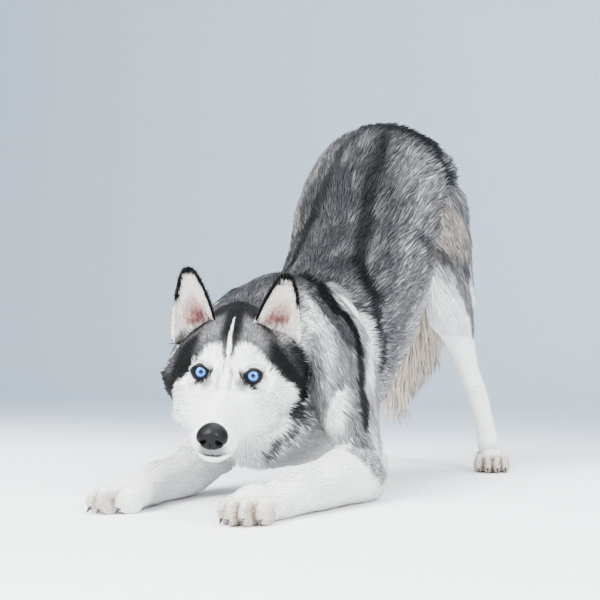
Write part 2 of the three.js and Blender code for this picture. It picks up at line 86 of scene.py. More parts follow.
def softNoise(places, scale, seed):
    # smooth noise from -1 to 1, its blobs about scale wide
    table = np.random.default_rng(seed).uniform(-1, 1, (32, 32, 32))
    spot = np.asarray(places) / scale + 511.3
    cell = np.floor(spot).astype(int)
    share = spot - cell
    share = share * share * (3 - 2 * share)
    total = 0
    for corner in range(8):
        step = [corner & 1, corner >> 1 & 1, corner >> 2 & 1]
        weight = 1
        for axis in range(3):
            weight = weight * (share[:, axis] if step[axis] else 1 - share[:, axis])
        spotCell = (cell + step) % 32
        total = total + weight * table[spotCell[:, 0], spotCell[:, 1], spotCell[:, 2]]
    return total


def deselectAll():
    if bpy.context.object and bpy.context.object.mode != "OBJECT":
        bpy.ops.object.mode_set(mode="OBJECT")
    bpy.ops.object.select_all(action="DESELECT")


def choose(piece):
    deselectAll()
    piece.select_set(True)
    bpy.context.view_layer.objects.active = piece


def readMany(items, key, width, kind=float):
    values = np.empty(len(items) * width, kind)
    items.foreach_get(key, values)
    return values.reshape(-1, width)


def readPlaces(piece):
    return readMany(piece.data.vertices, "co", 3)


def writePlaces(piece, co):
    piece.data.vertices.foreach_set("co", np.asarray(co, float).ravel())
    piece.data.update()


def joinPieces(name, pieces):
    deselectAll()
    for piece in pieces:
        piece.select_set(True)
    bpy.context.view_layer.objects.active = pieces[0]
    bpy.ops.object.join()
    joined = bpy.context.object
    joined.name = name
    joined.data.name = name
    return joined


def applyModifier(piece, kind, **settings):
    choose(piece)
    modifier = piece.modifiers.new(kind.title(), kind)
    for key, value in settings.items():
        setattr(modifier, key, value)
    bpy.ops.object.modifier_apply(modifier=modifier.name)


def addSphere(segments, rings):
    deselectAll()
    bpy.ops.mesh.primitive_uv_sphere_add(segments=segments, ring_count=rings, radius=1)
    piece = bpy.context.object
    return piece, readPlaces(piece)


def onSphere(co):
    # how far down from the top, 0 to 1, and the angle round
    return np.arccos(np.clip(co[:, 2], -1, 1)) / np.pi, np.arctan2(co[:, 1], co[:, 0])


def closerAtEnds(polar):
    # moves a sphere's rows towards both ends of the body
    return polar + 0.7 * (0.5 - 0.5 * np.cos(np.pi * polar) - polar)


def roundEnds(t, cap):
    # the size of a body that closes in a half circle over a share cap of its length at both ends
    near = np.minimum(t, 1 - t) / cap
    return np.where(near < 1, np.sqrt(np.clip(1 - (1 - near) ** 2, 0, 1)), 1)


def folded(places):
    # the right side laid over the left
    return np.column_stack([np.abs(places[:, 0]), places[:, 1:]])


def dress(piece, material):
    # its material, and smooth shading
    piece.data.materials.append(material)
    choose(piece)
    bpy.ops.object.shade_smooth()


# Where the body stands

head = {"yaw": 19, "pitch": 20, "roll": 4.5, "place": vec(26, 122, 164)}  # degrees, mm
eye = {"spacing": 62, "radius": 11.5}
turn = [math.radians(head[key]) for key in ("pitch", "roll", "yaw")]
headTurn = np.array(Euler(turn, "YXZ").to_matrix())


def fromHead(places):
    return np.asarray(places) @ headTurn.T + head["place"]


def toHead(places):
    return (np.asarray(places) - head["place"]) @ headTurn


eyeLow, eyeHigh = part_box("eye_left")
shift = (np.array(eyeLow) + np.array(eyeHigh)) * 500 - fromHead(vec(eye["spacing"] / 2, 0, 0))


def toFrame(places):
    return (np.asarray(places) + shift) / 1000


def toOwn(places):
    return np.asarray(places) * 1000 - shift


# Camera, floor and light

camera = {
    "place": vec(914, -1548, 218), "azimuth": 25.4, "pitch": 1.0,  # mm, degrees
    "reach": 1606, "picture": 600,  # focal length and picture width in pixels
    "sensor": 36,
}
azimuth, pitch = math.radians(camera["azimuth"]), math.radians(camera["pitch"])
lookAlong = vec(-math.sin(azimuth) * math.cos(pitch), math.cos(azimuth) * math.cos(pitch), math.sin(pitch))


def addCamera():
    bpy.ops.object.camera_add(location=toFrame(camera["place"]))
    seen = bpy.context.object
    seen.rotation_euler = Vector(lookAlong).to_track_quat("-Z", "Y").to_euler()
    seen.data.sensor_width = camera["sensor"]
    seen.data.lens = camera["reach"] * camera["sensor"] / camera["picture"]
    seen.data.clip_end = 60
    bpy.context.scene.camera = seen


studio = {
    "floorTone": (0.95, 0.96, 0.98),
    "farShadeTone": (0.43, 0.515, 0.61),
    "toneChange": (0.25, 1.5),  # how far back the floor turns from one to the other: painted shade, darker further back where the light falls off
    "floorSize": (14, 10),
    "wallDistance": 3.4,
    "wallHeight": 4.5,
    "bendRadius": 1.2,
    "worldTone": (0.80, 0.87, 0.95),
    "worldStrength": 0.8,
}
lamps = [
    {"name": "keyLight", "place": (-0.6, -2.3, 2.4), "aim": (0, -0.1, 0.2), "size": 1.8, "power": 345},
    {"name": "fillLight", "place": (2.3, -1.8, 1.7), "aim": (0, 0.0, 0.25), "size": 0.8, "power": 150},
    {"name": "topLight", "place": (0.3, 0.3, 2.8), "aim": (0, 0.0, 0.2), "size": 2.4, "power": 130},
]


def openBackEdge(floor):
    # edit mode with the floor's rear edge selected
    for edge in floor.data.edges:
        ends = [floor.data.vertices[i].co for i in edge.vertices]
        edge.select = all(end.y > studio["wallDistance"] - 0.01 and end.z < 0.01 for end in ends)
    bpy.ops.object.mode_set(mode="EDIT")


def addStudio():
    deselectAll()
    bpy.ops.mesh.primitive_plane_add(size=1, location=(0, 0, 0))
    floor = bpy.context.object
    floor.name = "studioFloor"
    wide, deep = studio["floorSize"]
    bpy.ops.object.mode_set(mode="EDIT")
    bpy.ops.transform.resize(value=(wide, deep, 1))
    bpy.ops.transform.translate(value=(0, studio["wallDistance"] - deep / 2, 0))
    bpy.ops.mesh.select_all(action="DESELECT")
    bpy.ops.object.mode_set(mode="OBJECT")
    openBackEdge(floor)
    bpy.ops.mesh.select_mode(type="EDGE")
    bpy.ops.mesh.extrude_region_move(TRANSFORM_OT_translate={"value": (0, 0, studio["wallHeight"])})
    bpy.ops.object.mode_set(mode="OBJECT")
    openBackEdge(floor)
    bpy.ops.mesh.bevel(offset=studio["bendRadius"], segments=24)
    bpy.ops.mesh.select_all(action="SELECT")
    bpy.ops.mesh.normals_make_consistent(inside=False)
    bpy.ops.object.mode_set(mode="OBJECT")
    bpy.ops.object.shade_smooth()
    floor.data.materials.append(makeFloorMaterial())

    world = bpy.data.worlds.new("softRoom")
    bpy.context.scene.world = world
    world.use_nodes = True
    background = world.node_tree.nodes["Background"]
    background.inputs["Color"].default_value = (*studio["worldTone"], 1)
    background.inputs["Strength"].default_value = studio["worldStrength"]
    for lamp in lamps:
        bpy.ops.object.light_add(type="AREA", location=lamp["place"])
        light = bpy.context.object
        light.name = lamp["name"]
        light.data.energy = lamp["power"]
        light.data.size = lamp["size"]
        aim = Vector(lamp["aim"]) - Vector(lamp["place"])
        light.rotation_euler = aim.to_track_quat("-Z", "Y").to_euler()


# Materials

def feed(tree, node, inputs):
    # gives each input a value, or links it to the output that feeds it
    for key, value in inputs.items():
        if isinstance(value, bpy.types.NodeSocket):
            tree.links.new(value, node.inputs[key])
        else:
            node.inputs[key].default_value = value


def addNode(tree, kind, inputs=(), **settings):
    node = tree.nodes.new("ShaderNode" + kind)
    for key, value in settings.items():
        setattr(node, key, value)
    feed(tree, node, dict(inputs))
    return node


def addRamp(tree, share, stops):
    # a colour ramp through stops of place and colour
    ramp = addNode(tree, "ValToRGB", {"Fac": share})
    elements = ramp.color_ramp.elements
    while len(elements) < len(stops):
        elements.new(0.5)
    for element, (place, colour) in zip(elements, stops):
        element.position = place
        element.color = (*colour, 1)
    return ramp


def newMaterial(name):
    material = bpy.data.materials.new(name)
    material.use_nodes = True
    return material, material.node_tree, material.node_tree.nodes["Principled BSDF"]


def makeStreakGroup():
    # light and dark streaks over a colour, with a height for bump
    group = bpy.data.node_groups.new("hairStreaks", "ShaderNodeTree")
    for way, label, kind in (
        ("INPUT", "Color", "Color"), ("INPUT", "Vector", "Vector"), ("INPUT", "Scale", "Float"),
        ("INPUT", "Amount", "Float"), ("OUTPUT", "Color", "Color"), ("OUTPUT", "Height", "Float"),
    ):
        group.interface.new_socket(name=label, in_out=way, socket_type="NodeSocket" + kind)
    given = group.nodes.new("NodeGroupInput").outputs
    noise = addNode(group, "TexNoise", {"Detail": 3, "Vector": given["Vector"], "Scale": given["Scale"]})
    spread = addNode(group, "MapRange", {
        "From Min": 0.3, "From Max": 0.7, "To Min": -1, "Value": noise.outputs["Fac"]})
    amount = addNode(
        group, "Math", {0: spread.outputs["Result"], 1: given["Amount"], 2: 1}, operation="MULTIPLY_ADD")
    scaled = addNode(
        group, "VectorMath", {0: given["Color"], "Scale": amount.outputs["Value"]}, operation="SCALE")
    result = group.nodes.new("NodeGroupOutput")
    feed(group, result, {"Color": scaled.outputs["Vector"], "Height": noise.outputs["Fac"]})
    return group


streakGroup = makeStreakGroup()


def paintedMaterial(name, strands, scale, amount, bump, values):
    # a colour painted on the mesh, with streaks along its strands if it has them
    material, tree, shader = newMaterial(name)
    painted = addNode(tree, "Attribute", attribute_name="coatColour")
    if strands:
        place = addNode(tree, "Attribute", attribute_name=strands).outputs["Vector"]
    else:
        place = addNode(tree, "TexCoord").outputs["Object"]
    streaks = addNode(tree, "Group", node_tree=streakGroup)
    feed(tree, streaks, {
        "Vector": place, "Scale": scale, "Amount": amount, "Color": painted.outputs["Color"]})
    feed(tree, shader, {**values, "Base Color": streaks.outputs["Color"]})
    if bump:
        relief = addNode(tree, "Bump", {
            "Strength": bump, "Distance": 0.001, "Height": streaks.outputs["Height"]})
        feed(tree, shader, {"Normal": relief.outputs["Normal"]})
    return material


def makeFloorMaterial():
    material, tree, shader = newMaterial("paleFloor")
    place = addNode(tree, "TexCoord")
    split = addNode(tree, "SeparateXYZ", {"Vector": place.outputs["Object"]})
    # painted shade: the floor darkens into the far tone further back
    start, end = studio["toneChange"]
    back = addNode(tree, "MapRange", {
        "From Min": start, "From Max": end, "Value": split.outputs["Y"]}, interpolation_type="SMOOTHSTEP")
    ramp = addRamp(tree, back.outputs["Result"], ((0, studio["floorTone"]), (1, studio["farShadeTone"])))
    feed(tree, shader, {"Roughness": 0.75, "Base Color": ramp.outputs["Color"]})
    return material


def makeNoseMaterial():
    material, tree, shader = newMaterial("noseLeather")
    place = addNode(tree, "TexCoord")
    pebbles = addNode(tree, "TexVoronoi", {"Scale": 900, "Vector": place.outputs["Object"]})
    ramp = addRamp(tree, pebbles.outputs["Distance"], ((0, tone(13, 14, 17)), (1, tone(5, 5, 6))))
    relief = addNode(tree, "Bump", {
        "Strength": 0.5, "Distance": 0.0006, "Height": pebbles.outputs["Distance"]}, invert=True)
    feed(tree, shader, {
        "Roughness": 0.45, "Specular IOR Level": 0.12, "Coat Weight": 0.06, "Coat Roughness": 0.15,
        "Base Color": ramp.outputs["Color"], "Normal": relief.outputs["Normal"]})
    return material


def makeDarkMaterial(name, dark, light, scale, values):
    # dark horn or rim skin: two tones in a fine noise, which is also its bump
    material, tree, shader = newMaterial(name)
    place = addNode(tree, "TexCoord")
    noise = addNode(tree, "TexNoise", {"Scale": scale, "Detail": 4, "Vector": place.outputs["Object"]})
    ramp = addRamp(tree, noise.outputs["Fac"], ((0.35, dark), (0.7, light)))
    relief = addNode(tree, "Bump", {"Strength": 0.3, "Distance": 0.0005, "Height": noise.outputs["Fac"]})
    feed(tree, shader, {
        **values, "Base Color": ramp.outputs["Color"], "Normal": relief.outputs["Normal"]})
    return material


irisRings = [  # share of a quarter turn away from the pupil's middle, and the colour there
    (0.0, tone(4, 8, 18)),
    (0.11, tone(6, 14, 34)),
    (0.136, tone(14, 74, 150)),
    (0.200, tone(44, 134, 214)),
    (0.300, tone(26, 106, 192)),
    (0.356, tone(8, 40, 92)),
    (0.388, tone(4, 8, 16)),
    (0.430, tone(16, 14, 14)),
    (0.60, tone(40, 34, 33)),
]


def makeEyeMaterial():
    material, tree, shader = newMaterial("blueEye")
    pattern = addNode(tree, "UVMap", uv_map="eyePattern")
    centred = addNode(tree, "VectorMath", {0: pattern.outputs["UV"], 1: (0.5, 0.5, 0)}, operation="SUBTRACT")
    away = addNode(tree, "VectorMath", {0: centred.outputs["Vector"]}, operation="LENGTH")
    double = addNode(tree, "Math", {0: away.outputs["Value"], 1: 2}, operation="MULTIPLY")
    ramp = addRamp(tree, double.outputs["Value"], irisRings)
    ramp.color_ramp.interpolation = "EASE"
    around = addNode(tree, "VectorMath", {0: centred.outputs["Vector"]}, operation="NORMALIZE")
    fibres = addNode(tree, "TexNoise", {"Scale": 24, "Detail": 2, "Vector": around.outputs["Vector"]})
    lift = addNode(tree, "MapRange", {
        "From Min": 0.3, "From Max": 0.7, "To Min": 0.72, "To Max": 1.25, "Value": fibres.outputs["Fac"]})
    streaked = addNode(
        tree, "VectorMath", {0: ramp.outputs["Color"], "Scale": lift.outputs["Result"]}, operation="SCALE")
    feed(tree, shader, {
        "Roughness": 0.3, "Specular IOR Level": 0.15, "Coat Weight": 0.65, "Coat Roughness": 0.02,
        "Coat IOR": 1.45, "Base Color": streaked.outputs["Vector"]})
    return material


# Bodies smoothly joined through rows [x, y, z, half width, above or front, below or rear], in mm

def throughRows(rows, t):
    rows = np.asarray(rows, float)
    last = len(rows) - 1
    spot = np.clip(t, 0, 1) * last
    index = np.minimum(spot.astype(int), last - 1)
    w = (spot - index)[:, None]
    longer = np.vstack([2 * rows[0] - rows[1], rows, 2 * rows[-1] - rows[-2]])
    a, b, c, d = [longer[index + k] for k in range(4)]
    leave, arrive = 0.5 * (c - a), 0.5 * (d - b)
    start = (2 * w**3 - 3 * w**2 + 1) * b + (w**3 - 2 * w**2 + w) * leave
    return start + (3 * w**2 - 2 * w**3) * c + (w**3 - w**2) * arrive


def onBody(part, t, angle, size=1.0):
    # a place on the body: angle 0 is towards +X, a quarter turn is above or in front
    rows = throughRows(part["rows"], t)
    centre, spans = rows[:, :3], rows[:, 3:]
    step = 0.002
    ahead = part.get("facing")
    if ahead is None:
        ahead = throughRows(part["rows"], t + step)[:, :3] - throughRows(part["rows"], t - step)[:, :3]
    ahead = unit(np.broadcast_to(ahead, centre.shape))
    up = unit(np.cross(vec(1, 0, 0), ahead))
    side = np.cross(ahead, up)
    c, s = np.cos(angle), np.sin(angle)
    inset = np.interp(t, *part["inset"])
    pinch = np.interp(t, (0, 1), part.get("pinch", (0, 0)))
    width = spans[:, 0] * np.where(s > 0, 1 - pinch * s * s, 1) - inset
    height = np.where(s > 0, spans[:, 1], spans[:, 2]) - inset
    place = centre + side * (size * width * c)[:, None] + up * (size * height * s)[:, None]
    if "edit" in part:
        place = fromHead(part["edit"](place))
    return place


def press(places, centre, radius, push):
    # moves what is near centre by push
    near = 1 - fade(np.linalg.norm(places - vec(*centre), axis=1) / radius, 0, 1)
    return places + near[:, None] * vec(*push)


def shapeHead(p):
    # the skull is narrower than the cheeks, and the brows stand over the sockets
    upper = fade(p[:, 2], -5, 62) * fade(p[:, 1], -30, 20)
    p = p * np.column_stack([1 - 0.36 * upper, np.ones(len(p)), np.ones(len(p))])
    for s in (-1, 1):
        p = press(p, (s * 34, -8, 6), 24, (-s * 3, 9, -4))  # eye socket
        p = press(p, (s * 22, 4, 26), 24, (s * 2, -7, 3))  # brow
        p = press(p, (s * 22, -88, -50), 22, (s * 4, 0, 0))  # upper lip
        p = press(p, (s * 60, 34, -30), 40, (s * 5, -4, 0))  # cheek
        p = press(p, (s * 46, -12, -54), 42, (s * 10, -2, -8))  # flews
    return press(p, (0, 6, 22), 26, (0, 5, -4))  # furrow between the brows


def mirrored(rows):
    return [(-row[0], *row[1:]) for row in rows]


pawReach = {1: 0, -1: 41}  # how far back each forepaw lies, left then right
elbowLift = {1: 0, -1: 26}


def foreRows(rows, side):
    # the right foreleg lies further back, its elbow off the ground, fading out up the shoulder
    placed = []
    for x, y, z, *spans in rows:
        lift = elbowLift[side] * fade(y, 230, 350) * (1 - fade(z, 60, 160))
        placed.append((side * x, y + pawReach[side] * (1 - fade(z, 40, 220)), z + lift, *spans))
    return placed


torsoRows = [
    (0, 196, 142, 62, 60, 98), (0, 265, 150, 90, 98, 116), (0, 340, 166, 101, 106, 132),
    (0, 419, 186, 104, 112, 134), (0, 495, 232, 104, 112, 120), (-2, 565, 292, 106, 117, 120),
    (-8, 623, 356, 113, 122, 110), (-8, 668, 416, 116, 107, 98), (-6, 716, 438, 108, 88, 92),
    (0, 776, 428, 66, 56, 60),
]
neckRows = [
    (2, 164, 158, 64, 46, 74), (-5, 196, 172, 92, 64, 112), (-6, 228, 192, 97, 62, 134),
    (-2, 268, 204, 95, 72, 140), (0, 318, 210, 88, 80, 124), (0, 372, 218, 70, 66, 88),
]
headRows = [
    (0, -112, -48, 16, 18, 17), (0, -92, -46, 25, 25, 27), (0, -62, -45, 29, 30, 30),
    (0, -34, -42, 37, 34, 36), (0, -12, -36, 51, 40, 44), (0, 12, -28, 67, 54, 54),
    (0, 40, -20, 78, 70, 62), (0, 74, -14, 80, 80, 66), (0, 108, -12, 72, 76, 62),
    (0, 142, -10, 50, 54, 42),
]
forearmRows = [
    (96, 44, 20, 25, 18, 22), (101, 92, 22, 25, 21, 26), (106, 140, 26, 26, 28, 28),
    (110, 195, 31, 28, 29, 33), (114, 250, 36, 32, 38, 38), (117, 302, 40, 34, 45, 44),
    (116, 354, 34, 26, 38, 36),
]
upperArmRows = [
    (116, 320, 16, 27, 30, 28), (115, 312, 56, 33, 45, 40), (110, 297, 96, 39, 60, 53),
    (102, 292, 146, 45, 76, 72), (88, 300, 196, 45, 84, 78), (66, 322, 238, 40, 76, 72),
    (44, 350, 276, 28, 52, 48),
]
hindRows = [
    (124, 786, 22, 20, 22, 22), (121, 783, 60, 17, 19, 19), (114, 777, 98, 17, 20, 19),
    (108, 768, 128, 18, 28, 24), (103, 756, 152, 18, 27, 25), (99, 738, 184, 22, 34, 36),
    (96, 705, 222, 30, 60, 58), (91, 698, 262, 38, 66, 62), (85, 692, 302, 46, 76, 66),
    (78, 692, 342, 51, 86, 73), (70, 694, 382, 54, 88, 80), (60, 694, 422, 54, 82, 80),
    (46, 694, 462, 44, 62, 62),
]
tailRows = [
    (0, 735, 474, 28, 26, 26), (0, 782, 444, 34, 32, 32), (0, 812, 392, 42, 40, 40),
    (0, 822, 326, 50, 48, 48), (-4, 818, 256, 52, 50, 50), (-14, 806, 190, 46, 44, 44),
    (-26, 790, 134, 30, 28, 28), (-30, 786, 114, 24, 23, 23),
]
# inset: how deep the skin lies under the coat. lie: 1 if the hair runs along the rows, -1 against them.
# hang: pulls the hair that way.
bodyParts = {
    "torso": {
        "rows": torsoRows, "pinch": (0.5, 0.12), "inset": ((0, 0.3, 1), (10, 6, 8)), "lie": 1,
        "hang": (0, 0, -0.3)},
    "neck": {
        "rows": neckRows, "pinch": (0.25, 0.25), "inset": ((0, 0.4, 0.8, 1), (6, 8, 3, 2)), "lie": 1,
        "hang": (0, 0, -0.4)},
    "head": {
        "rows": headRows, "edit": shapeHead, "inset": ((0, 0.3, 0.6, 0.8, 1), (1, 1.5, 4, 11, 14)), "lie": 1,
        "hang": (0, 0, 0)},
    "tail": {"rows": tailRows, "inset": ((0, 1), (17, 19)), "lie": 1, "hang": (0.35, 0, 0)},
}
for side, label in ((1, "Left"), (-1, "Right")):
    bodyParts["upperArm" + label] = {
        "rows": foreRows(upperArmRows, side), "facing": vec(0, 0, 1),
        "inset": ((0, 0.3, 1), (4, 8, 12)), "lie": -1, "hang": (0, 0.35, 0)}
    bodyParts["forearm" + label] = {
        "rows": foreRows(forearmRows, side), "facing": vec(0, 1, 0),
        "inset": ((0, 1), (2.5, 4)), "lie": -1, "hang": (0, 0, -0.2)}
    bodyParts["hind" + label] = {
        "rows": hindRows if side > 0 else mirrored(hindRows), "facing": vec(0, 0, 1),
        "inset": ((0, 0.3, 0.6, 1), (2, 2.5, 7, 12)), "lie": -1, "hang": (0, 0.15, 0)}
partNames = [*bodyParts, "paw", "ear"]

samples = {"place": [], "flow": [], "part": [], "t": [], "angle": []}


def addSamples(name, places, flow, t, angle):
    # what lies where, which way its hair runs, how far along it and round it
    number = np.full(len(places), partNames.index(name))
    for key, values in zip(samples, (places, flow, number, t, angle)):
        samples[key].append(values)


def loftPart(name):
    part = bodyParts[name]
    piece, co = addSphere(56, 72)
    polar, angle = onSphere(co)
    t = closerAtEnds(polar)
    places = onBody(part, t, angle, roundEnds(t, 0.06))
    writePlaces(piece, toFrame(places))
    step = 0.01
    run = onBody(part, t + step, angle) - onBody(part, t - step, angle)
    addSamples(name, places, unit(run) * part["lie"] + vec(*part["hang"]), t, angle)
    return piece


pawShape = {
    "width": 62,  # the measures below are for a paw this wide
    "toes": ((-22, 20, 0.9), (-8, 6, 1), (8, 6, 1), (22, 20, 0.9)),  # x, y, size
    "gaps": (-15, 0, 15),
    "crease": 3.0,
    "creaseDepth": 3.2,
    "inset": 1.4,
}
paws = [
    {"node": "forepaw_left", "width": 65, "place": (97, 12), "turn": 6},
    {"node": "forepaw_right", "width": 65, "place": (-107, 51), "turn": -14},
    {"node": "hind_paw_left", "width": 56, "place": (141, 752), "turn": 22},
    {"node": "hind_paw_right", "width": 56, "place": (-141, 752), "turn": -22},
]


def pawSize(paw):
    return paw["width"] / pawShape["width"]


def pawFrame(paw):
    # the way it is turned, and its place on the ground
    return np.array(Matrix.Rotation(math.radians(paw["turn"]), 3, "Z")), vec(*paw["place"], 0)


def pawPlaces(paw, places):
    turned, centre = pawFrame(paw)
    return np.asarray(places) @ turned.T + centre


def toeCrease(places):
    # 1 in the middle of the gaps between the toes, on their front and top
    total = np.zeros(len(places))
    for paw in paws:
        turned, centre = pawFrame(paw)
        x, y, z = ((places - centre) @ turned / pawSize(paw)).T
        reach = (1 - fade(y, 8, 30)) * (np.abs(x) < 34) * (y > -40) * (1 - fade(z, 26, 40))
        for middle in pawShape["gaps"]:
            total = np.maximum(total, np.exp(-(((x - middle) / pawShape["crease"]) ** 2)) * reach)
    return total


def eggOn(paw, centre, radii, slope):
    piece, co = addSphere(28, 18)
    tilt = np.array(Matrix.Rotation(math.radians(slope), 3, "X"))
    places = pawPlaces(paw, (co * vec(*radii)) @ tilt.T + vec(*centre))
    writePlaces(piece, toFrame(places))
    toward = pawPlaces(paw, [(0, -1, -0.35)])[0] - pawPlaces(paw, [(0, 0, 0)])[0]
    nothing = np.zeros(len(places))
    addSamples("paw", places, np.tile(toward, (len(places), 1)), nothing, nothing)
    return piece


def pawPieces(paw):
    unitSize, inset = pawSize(paw), pawShape["inset"]
    radii = vec(27, 38, 21) * unitSize - inset
    pieces = [eggOn(paw, (0, 48 * unitSize, 19 * unitSize), radii, 14)]
    for x, y, size in pawShape["toes"]:
        reach = size * unitSize
        centre = (x * unitSize, y * unitSize + 8 * reach, 14 * reach)
        pieces.append(eggOn(paw, centre, vec(9.4, 24, 17) * reach - inset, -14))
        knuckle = (x * unitSize * 0.96, y * unitSize + 20 * reach, 25 * reach)
        pieces.append(eggOn(paw, knuckle, vec(8.6, 13, 9) * reach - inset, 8))
    return pieces


# One skin over all of it

skinShape = {"voxel": 0.0036, "smoothing": 9}


def makeSkin():
    pieces = [loftPart(name) for name in bodyParts]
    for paw in paws:
        pieces.extend(pawPieces(paw))
    skin = joinPieces("huskySkin", pieces)
    applyModifier(skin, "REMESH", mode="VOXEL", voxel_size=skinShape["voxel"], adaptivity=0)
    return skin


skin = makeSkin()
print("skin remeshed,", len(skin.data.polygons), "faces")


def refineSkin():
    # finer faces on the face and paws
    bpy.context.tool_settings.mesh_select_mode = (True, False, False)
    own = toOwn(readPlaces(skin))
    y, z = own[:, 1], own[:, 2]
    local = toHead(own)
    chosen = (local[:, 1] < 45) & (local[:, 2] > -95) & (y < 230) & (z > 55)
    chosen |= (z < 40) & ((y < 90) | (y > 715))
    choose(skin)
    skin.data.polygons.foreach_set("select", np.zeros(len(skin.data.polygons), bool))
    skin.data.edges.foreach_set("select", np.zeros(len(skin.data.edges), bool))
    skin.data.vertices.foreach_set("select", chosen)
    bpy.ops.object.mode_set(mode="EDIT")
    bpy.ops.mesh.select_mode(type="VERT")
    bpy.ops.mesh.subdivide(number_cuts=1, smoothness=0)
    bpy.ops.object.mode_set(mode="OBJECT")


def smoothSkin():
    # the face and the paws less than the rest
    own = toOwn(readPlaces(skin))
    local = toHead(own)
    face = fade(-local[:, 1], -60, 10) * (own[:, 2] > 55)
    foot = fade(-own[:, 2], -60, -40)
    weight = np.clip(1 - 0.72 * face - 0.9 * foot, 0.1, 1)
    group = skin.vertex_groups.new(name="softness")
    for index, value in enumerate(weight.tolist()):
        group.add([index], value, "REPLACE")
    applyModifier(skin, "SMOOTH", factor=0.5, iterations=skinShape["smoothing"], vertex_group="softness")
    skin.vertex_groups.remove(skin.vertex_groups["softness"])


refineSkin()
smoothSkin()
print("skin smoothed,", len(skin.data.vertices), "points")


# Face: sockets, lids and lips, all in the head's own frame

lid = {
    "out": vec(0.26, -0.93, 0.26),  # the way the opening faces, on the left side
    "follow": 1.6,  # how far it turns with the eye
    "along": vec(0.92, 0.30, 0.20),  # towards its outer corner
    "halfLength": 7.5,
    "halfHeight": 6.1,
    "power": 1.8,  # between an oval, 2, and a diamond, 1
    "skinOver": 1.1,
    "reach": 9,
}
mouth = {
    "line": ((-125, -58), (-104, -57), (-70, -56), (-38, -50)),  # y and z round the muzzle
    "depth": 2.6,
    "half": 3.2,
}


def eyeGaze(side):
    # the eye's middle and the way it looks
    centre = vec(side * eye["spacing"] / 2, 0, 0)
    return centre, unit(toHead(camera["place"]) - centre)


def eyeFrame(side):
    flip = vec(side, 1, 1)
    centre, gaze = eyeGaze(side)
    out = unit(unit(lid["out"]) * flip + lid["follow"] * gaze)
    along = lid["along"] * flip
    along = unit(along - out * (along @ out))
    return centre, out, along, np.cross(out, along) * side


def almondGap(u, v):
    # how far outside the opening, in mm, below zero inside it
    power, wide, tall = lid["power"], lid["halfLength"], lid["halfHeight"]
    level = (np.abs(u) / wide) ** power + (np.abs(v) / tall) ** power
    return (level**0.556 - 1) * (tall + wide) / 2


def mouthHeight(y):
    ys, zs = zip(*mouth["line"])
    return np.interp(y, ys, zs)


def sculptFace():
    own = toOwn(readPlaces(skin))
    p = toHead(own)
    near = (p[:, 1] < 60) & (own[:, 2] > 40) & (own[:, 1] < 240)
    q = p[near]
    for side in (-1, 1):
        centre, out, along, up = eyeFrame(side)
        away = q - centre
        r = np.linalg.norm(away, axis=1)
        e = away / np.maximum(r, 1e-6)[:, None]
        u, v, front = [(e @ axis) * eye["radius"] for axis in (along, up, out)]
        gap = almondGap(u, v)
        # the lids lie on the eye, and inside the opening the skin drops behind its front
        wanted = eye["radius"] + lid["skinOver"] + 0.18 * np.clip(gap, 0, 12)
        wanted = np.where(gap < -0.4, eye["radius"] - 3.5, wanted)
        weight = (1 - fade(gap, 2.5, lid["reach"])) * (front > 0) * (r < 26)
        r = r + weight * (wanted - r)
        r = np.where((gap > 0) & (e @ out > -0.3), np.maximum(r, eye["radius"] + lid["skinOver"]), r)
        q = centre + e * r[:, None]
    # the line of the mouth, pressed in round the muzzle
    under = q[:, 2] - mouthHeight(q[:, 1])
    groove = np.exp(-((under / mouth["half"]) ** 2)) * fade(-q[:, 1], 34, 46) * (q[:, 2] < -38)
    inward = unit(np.column_stack([-q[:, 0], np.full(len(q), 8.0), np.zeros(len(q))]))
    q = q + inward * (groove * mouth["depth"])[:, None]
    p[near] = q
    own = fromHead(p)
    outward = readMany(skin.data.vertices, "normal", 3)
    own = own - outward * (pawShape["creaseDepth"] * toeCrease(own))[:, None]
    own[:, 2] = np.maximum(own[:, 2], 0.4)
    writePlaces(skin, toFrame(own))


sculptFace()

# Ears: cups open to the front, their hair hides the join

ear = {
    "root": (48, 60, 24), "tip": (60, 66, 106), "width": 66, "taper": 0.56, "edge": 0.6,
    "thickness": 3.2, "cup": 17, "cupTaper": 0.8,
}


def earAxes(side):
    root = vec(side * ear["root"][0], *ear["root"][1:])
    tip = vec(side * ear["tip"][0], *ear["tip"][1:])
    up = unit(tip - root)
    back = unit(np.cross(vec(side, 0.24, 0), up)) * -side
    across = np.cross(back, up) * side  # towards the outer edge
    return root, np.linalg.norm(tip - root), up, back, across


def earHalf(v, share=1):
    # half the ear's width, from the root (0) to the tip (1)
    return ear["width"] / 2 * np.clip(1 - v, 0, 1) ** ear["taper"] * share + ear["edge"]


def earCup(v):
    # how deep the cup is
    return ear["cup"] * np.clip(1 - v, 0, 1) ** ear["cupTaper"]


def onEar(side, u, v):
    # u from -1 at the inner edge to 1 at the outer one, v from the root to the tip
    root, tall, up, back, across = earAxes(side)
    bend = u * np.pi / 2
    half = earHalf(v, 0.9 + 0.1 * v)
    place = root + up * (tall * v)[:, None] + across * (half * np.sin(bend))[:, None]
    return place + back * (earCup(v) * np.cos(bend))[:, None]


def makeEar(side):
    deselectAll()
    bpy.ops.mesh.primitive_grid_add(x_subdivisions=26, y_subdivisions=24, size=2)
    piece = bpy.context.object
    co = readPlaces(piece)
    u, v = co[:, 0], co[:, 1] * 0.58 + 0.42
    writePlaces(piece, toFrame(fromHead(onEar(side, u, v))))
    if side < 0:
        bpy.ops.object.mode_set(mode="EDIT")
        bpy.ops.mesh.flip_normals()
        bpy.ops.object.mode_set(mode="OBJECT")
    applyModifier(piece, "SOLIDIFY", thickness=ear["thickness"] / 1000, offset=0)
    applyModifier(piece, "SUBSURF", levels=1, render_levels=1)
    return piece


ears = [makeEar(side) for side in (1, -1)]
skin = joinPieces("huskySkin", [skin, *ears])
print("ears joined,", len(skin.data.vertices), "points")


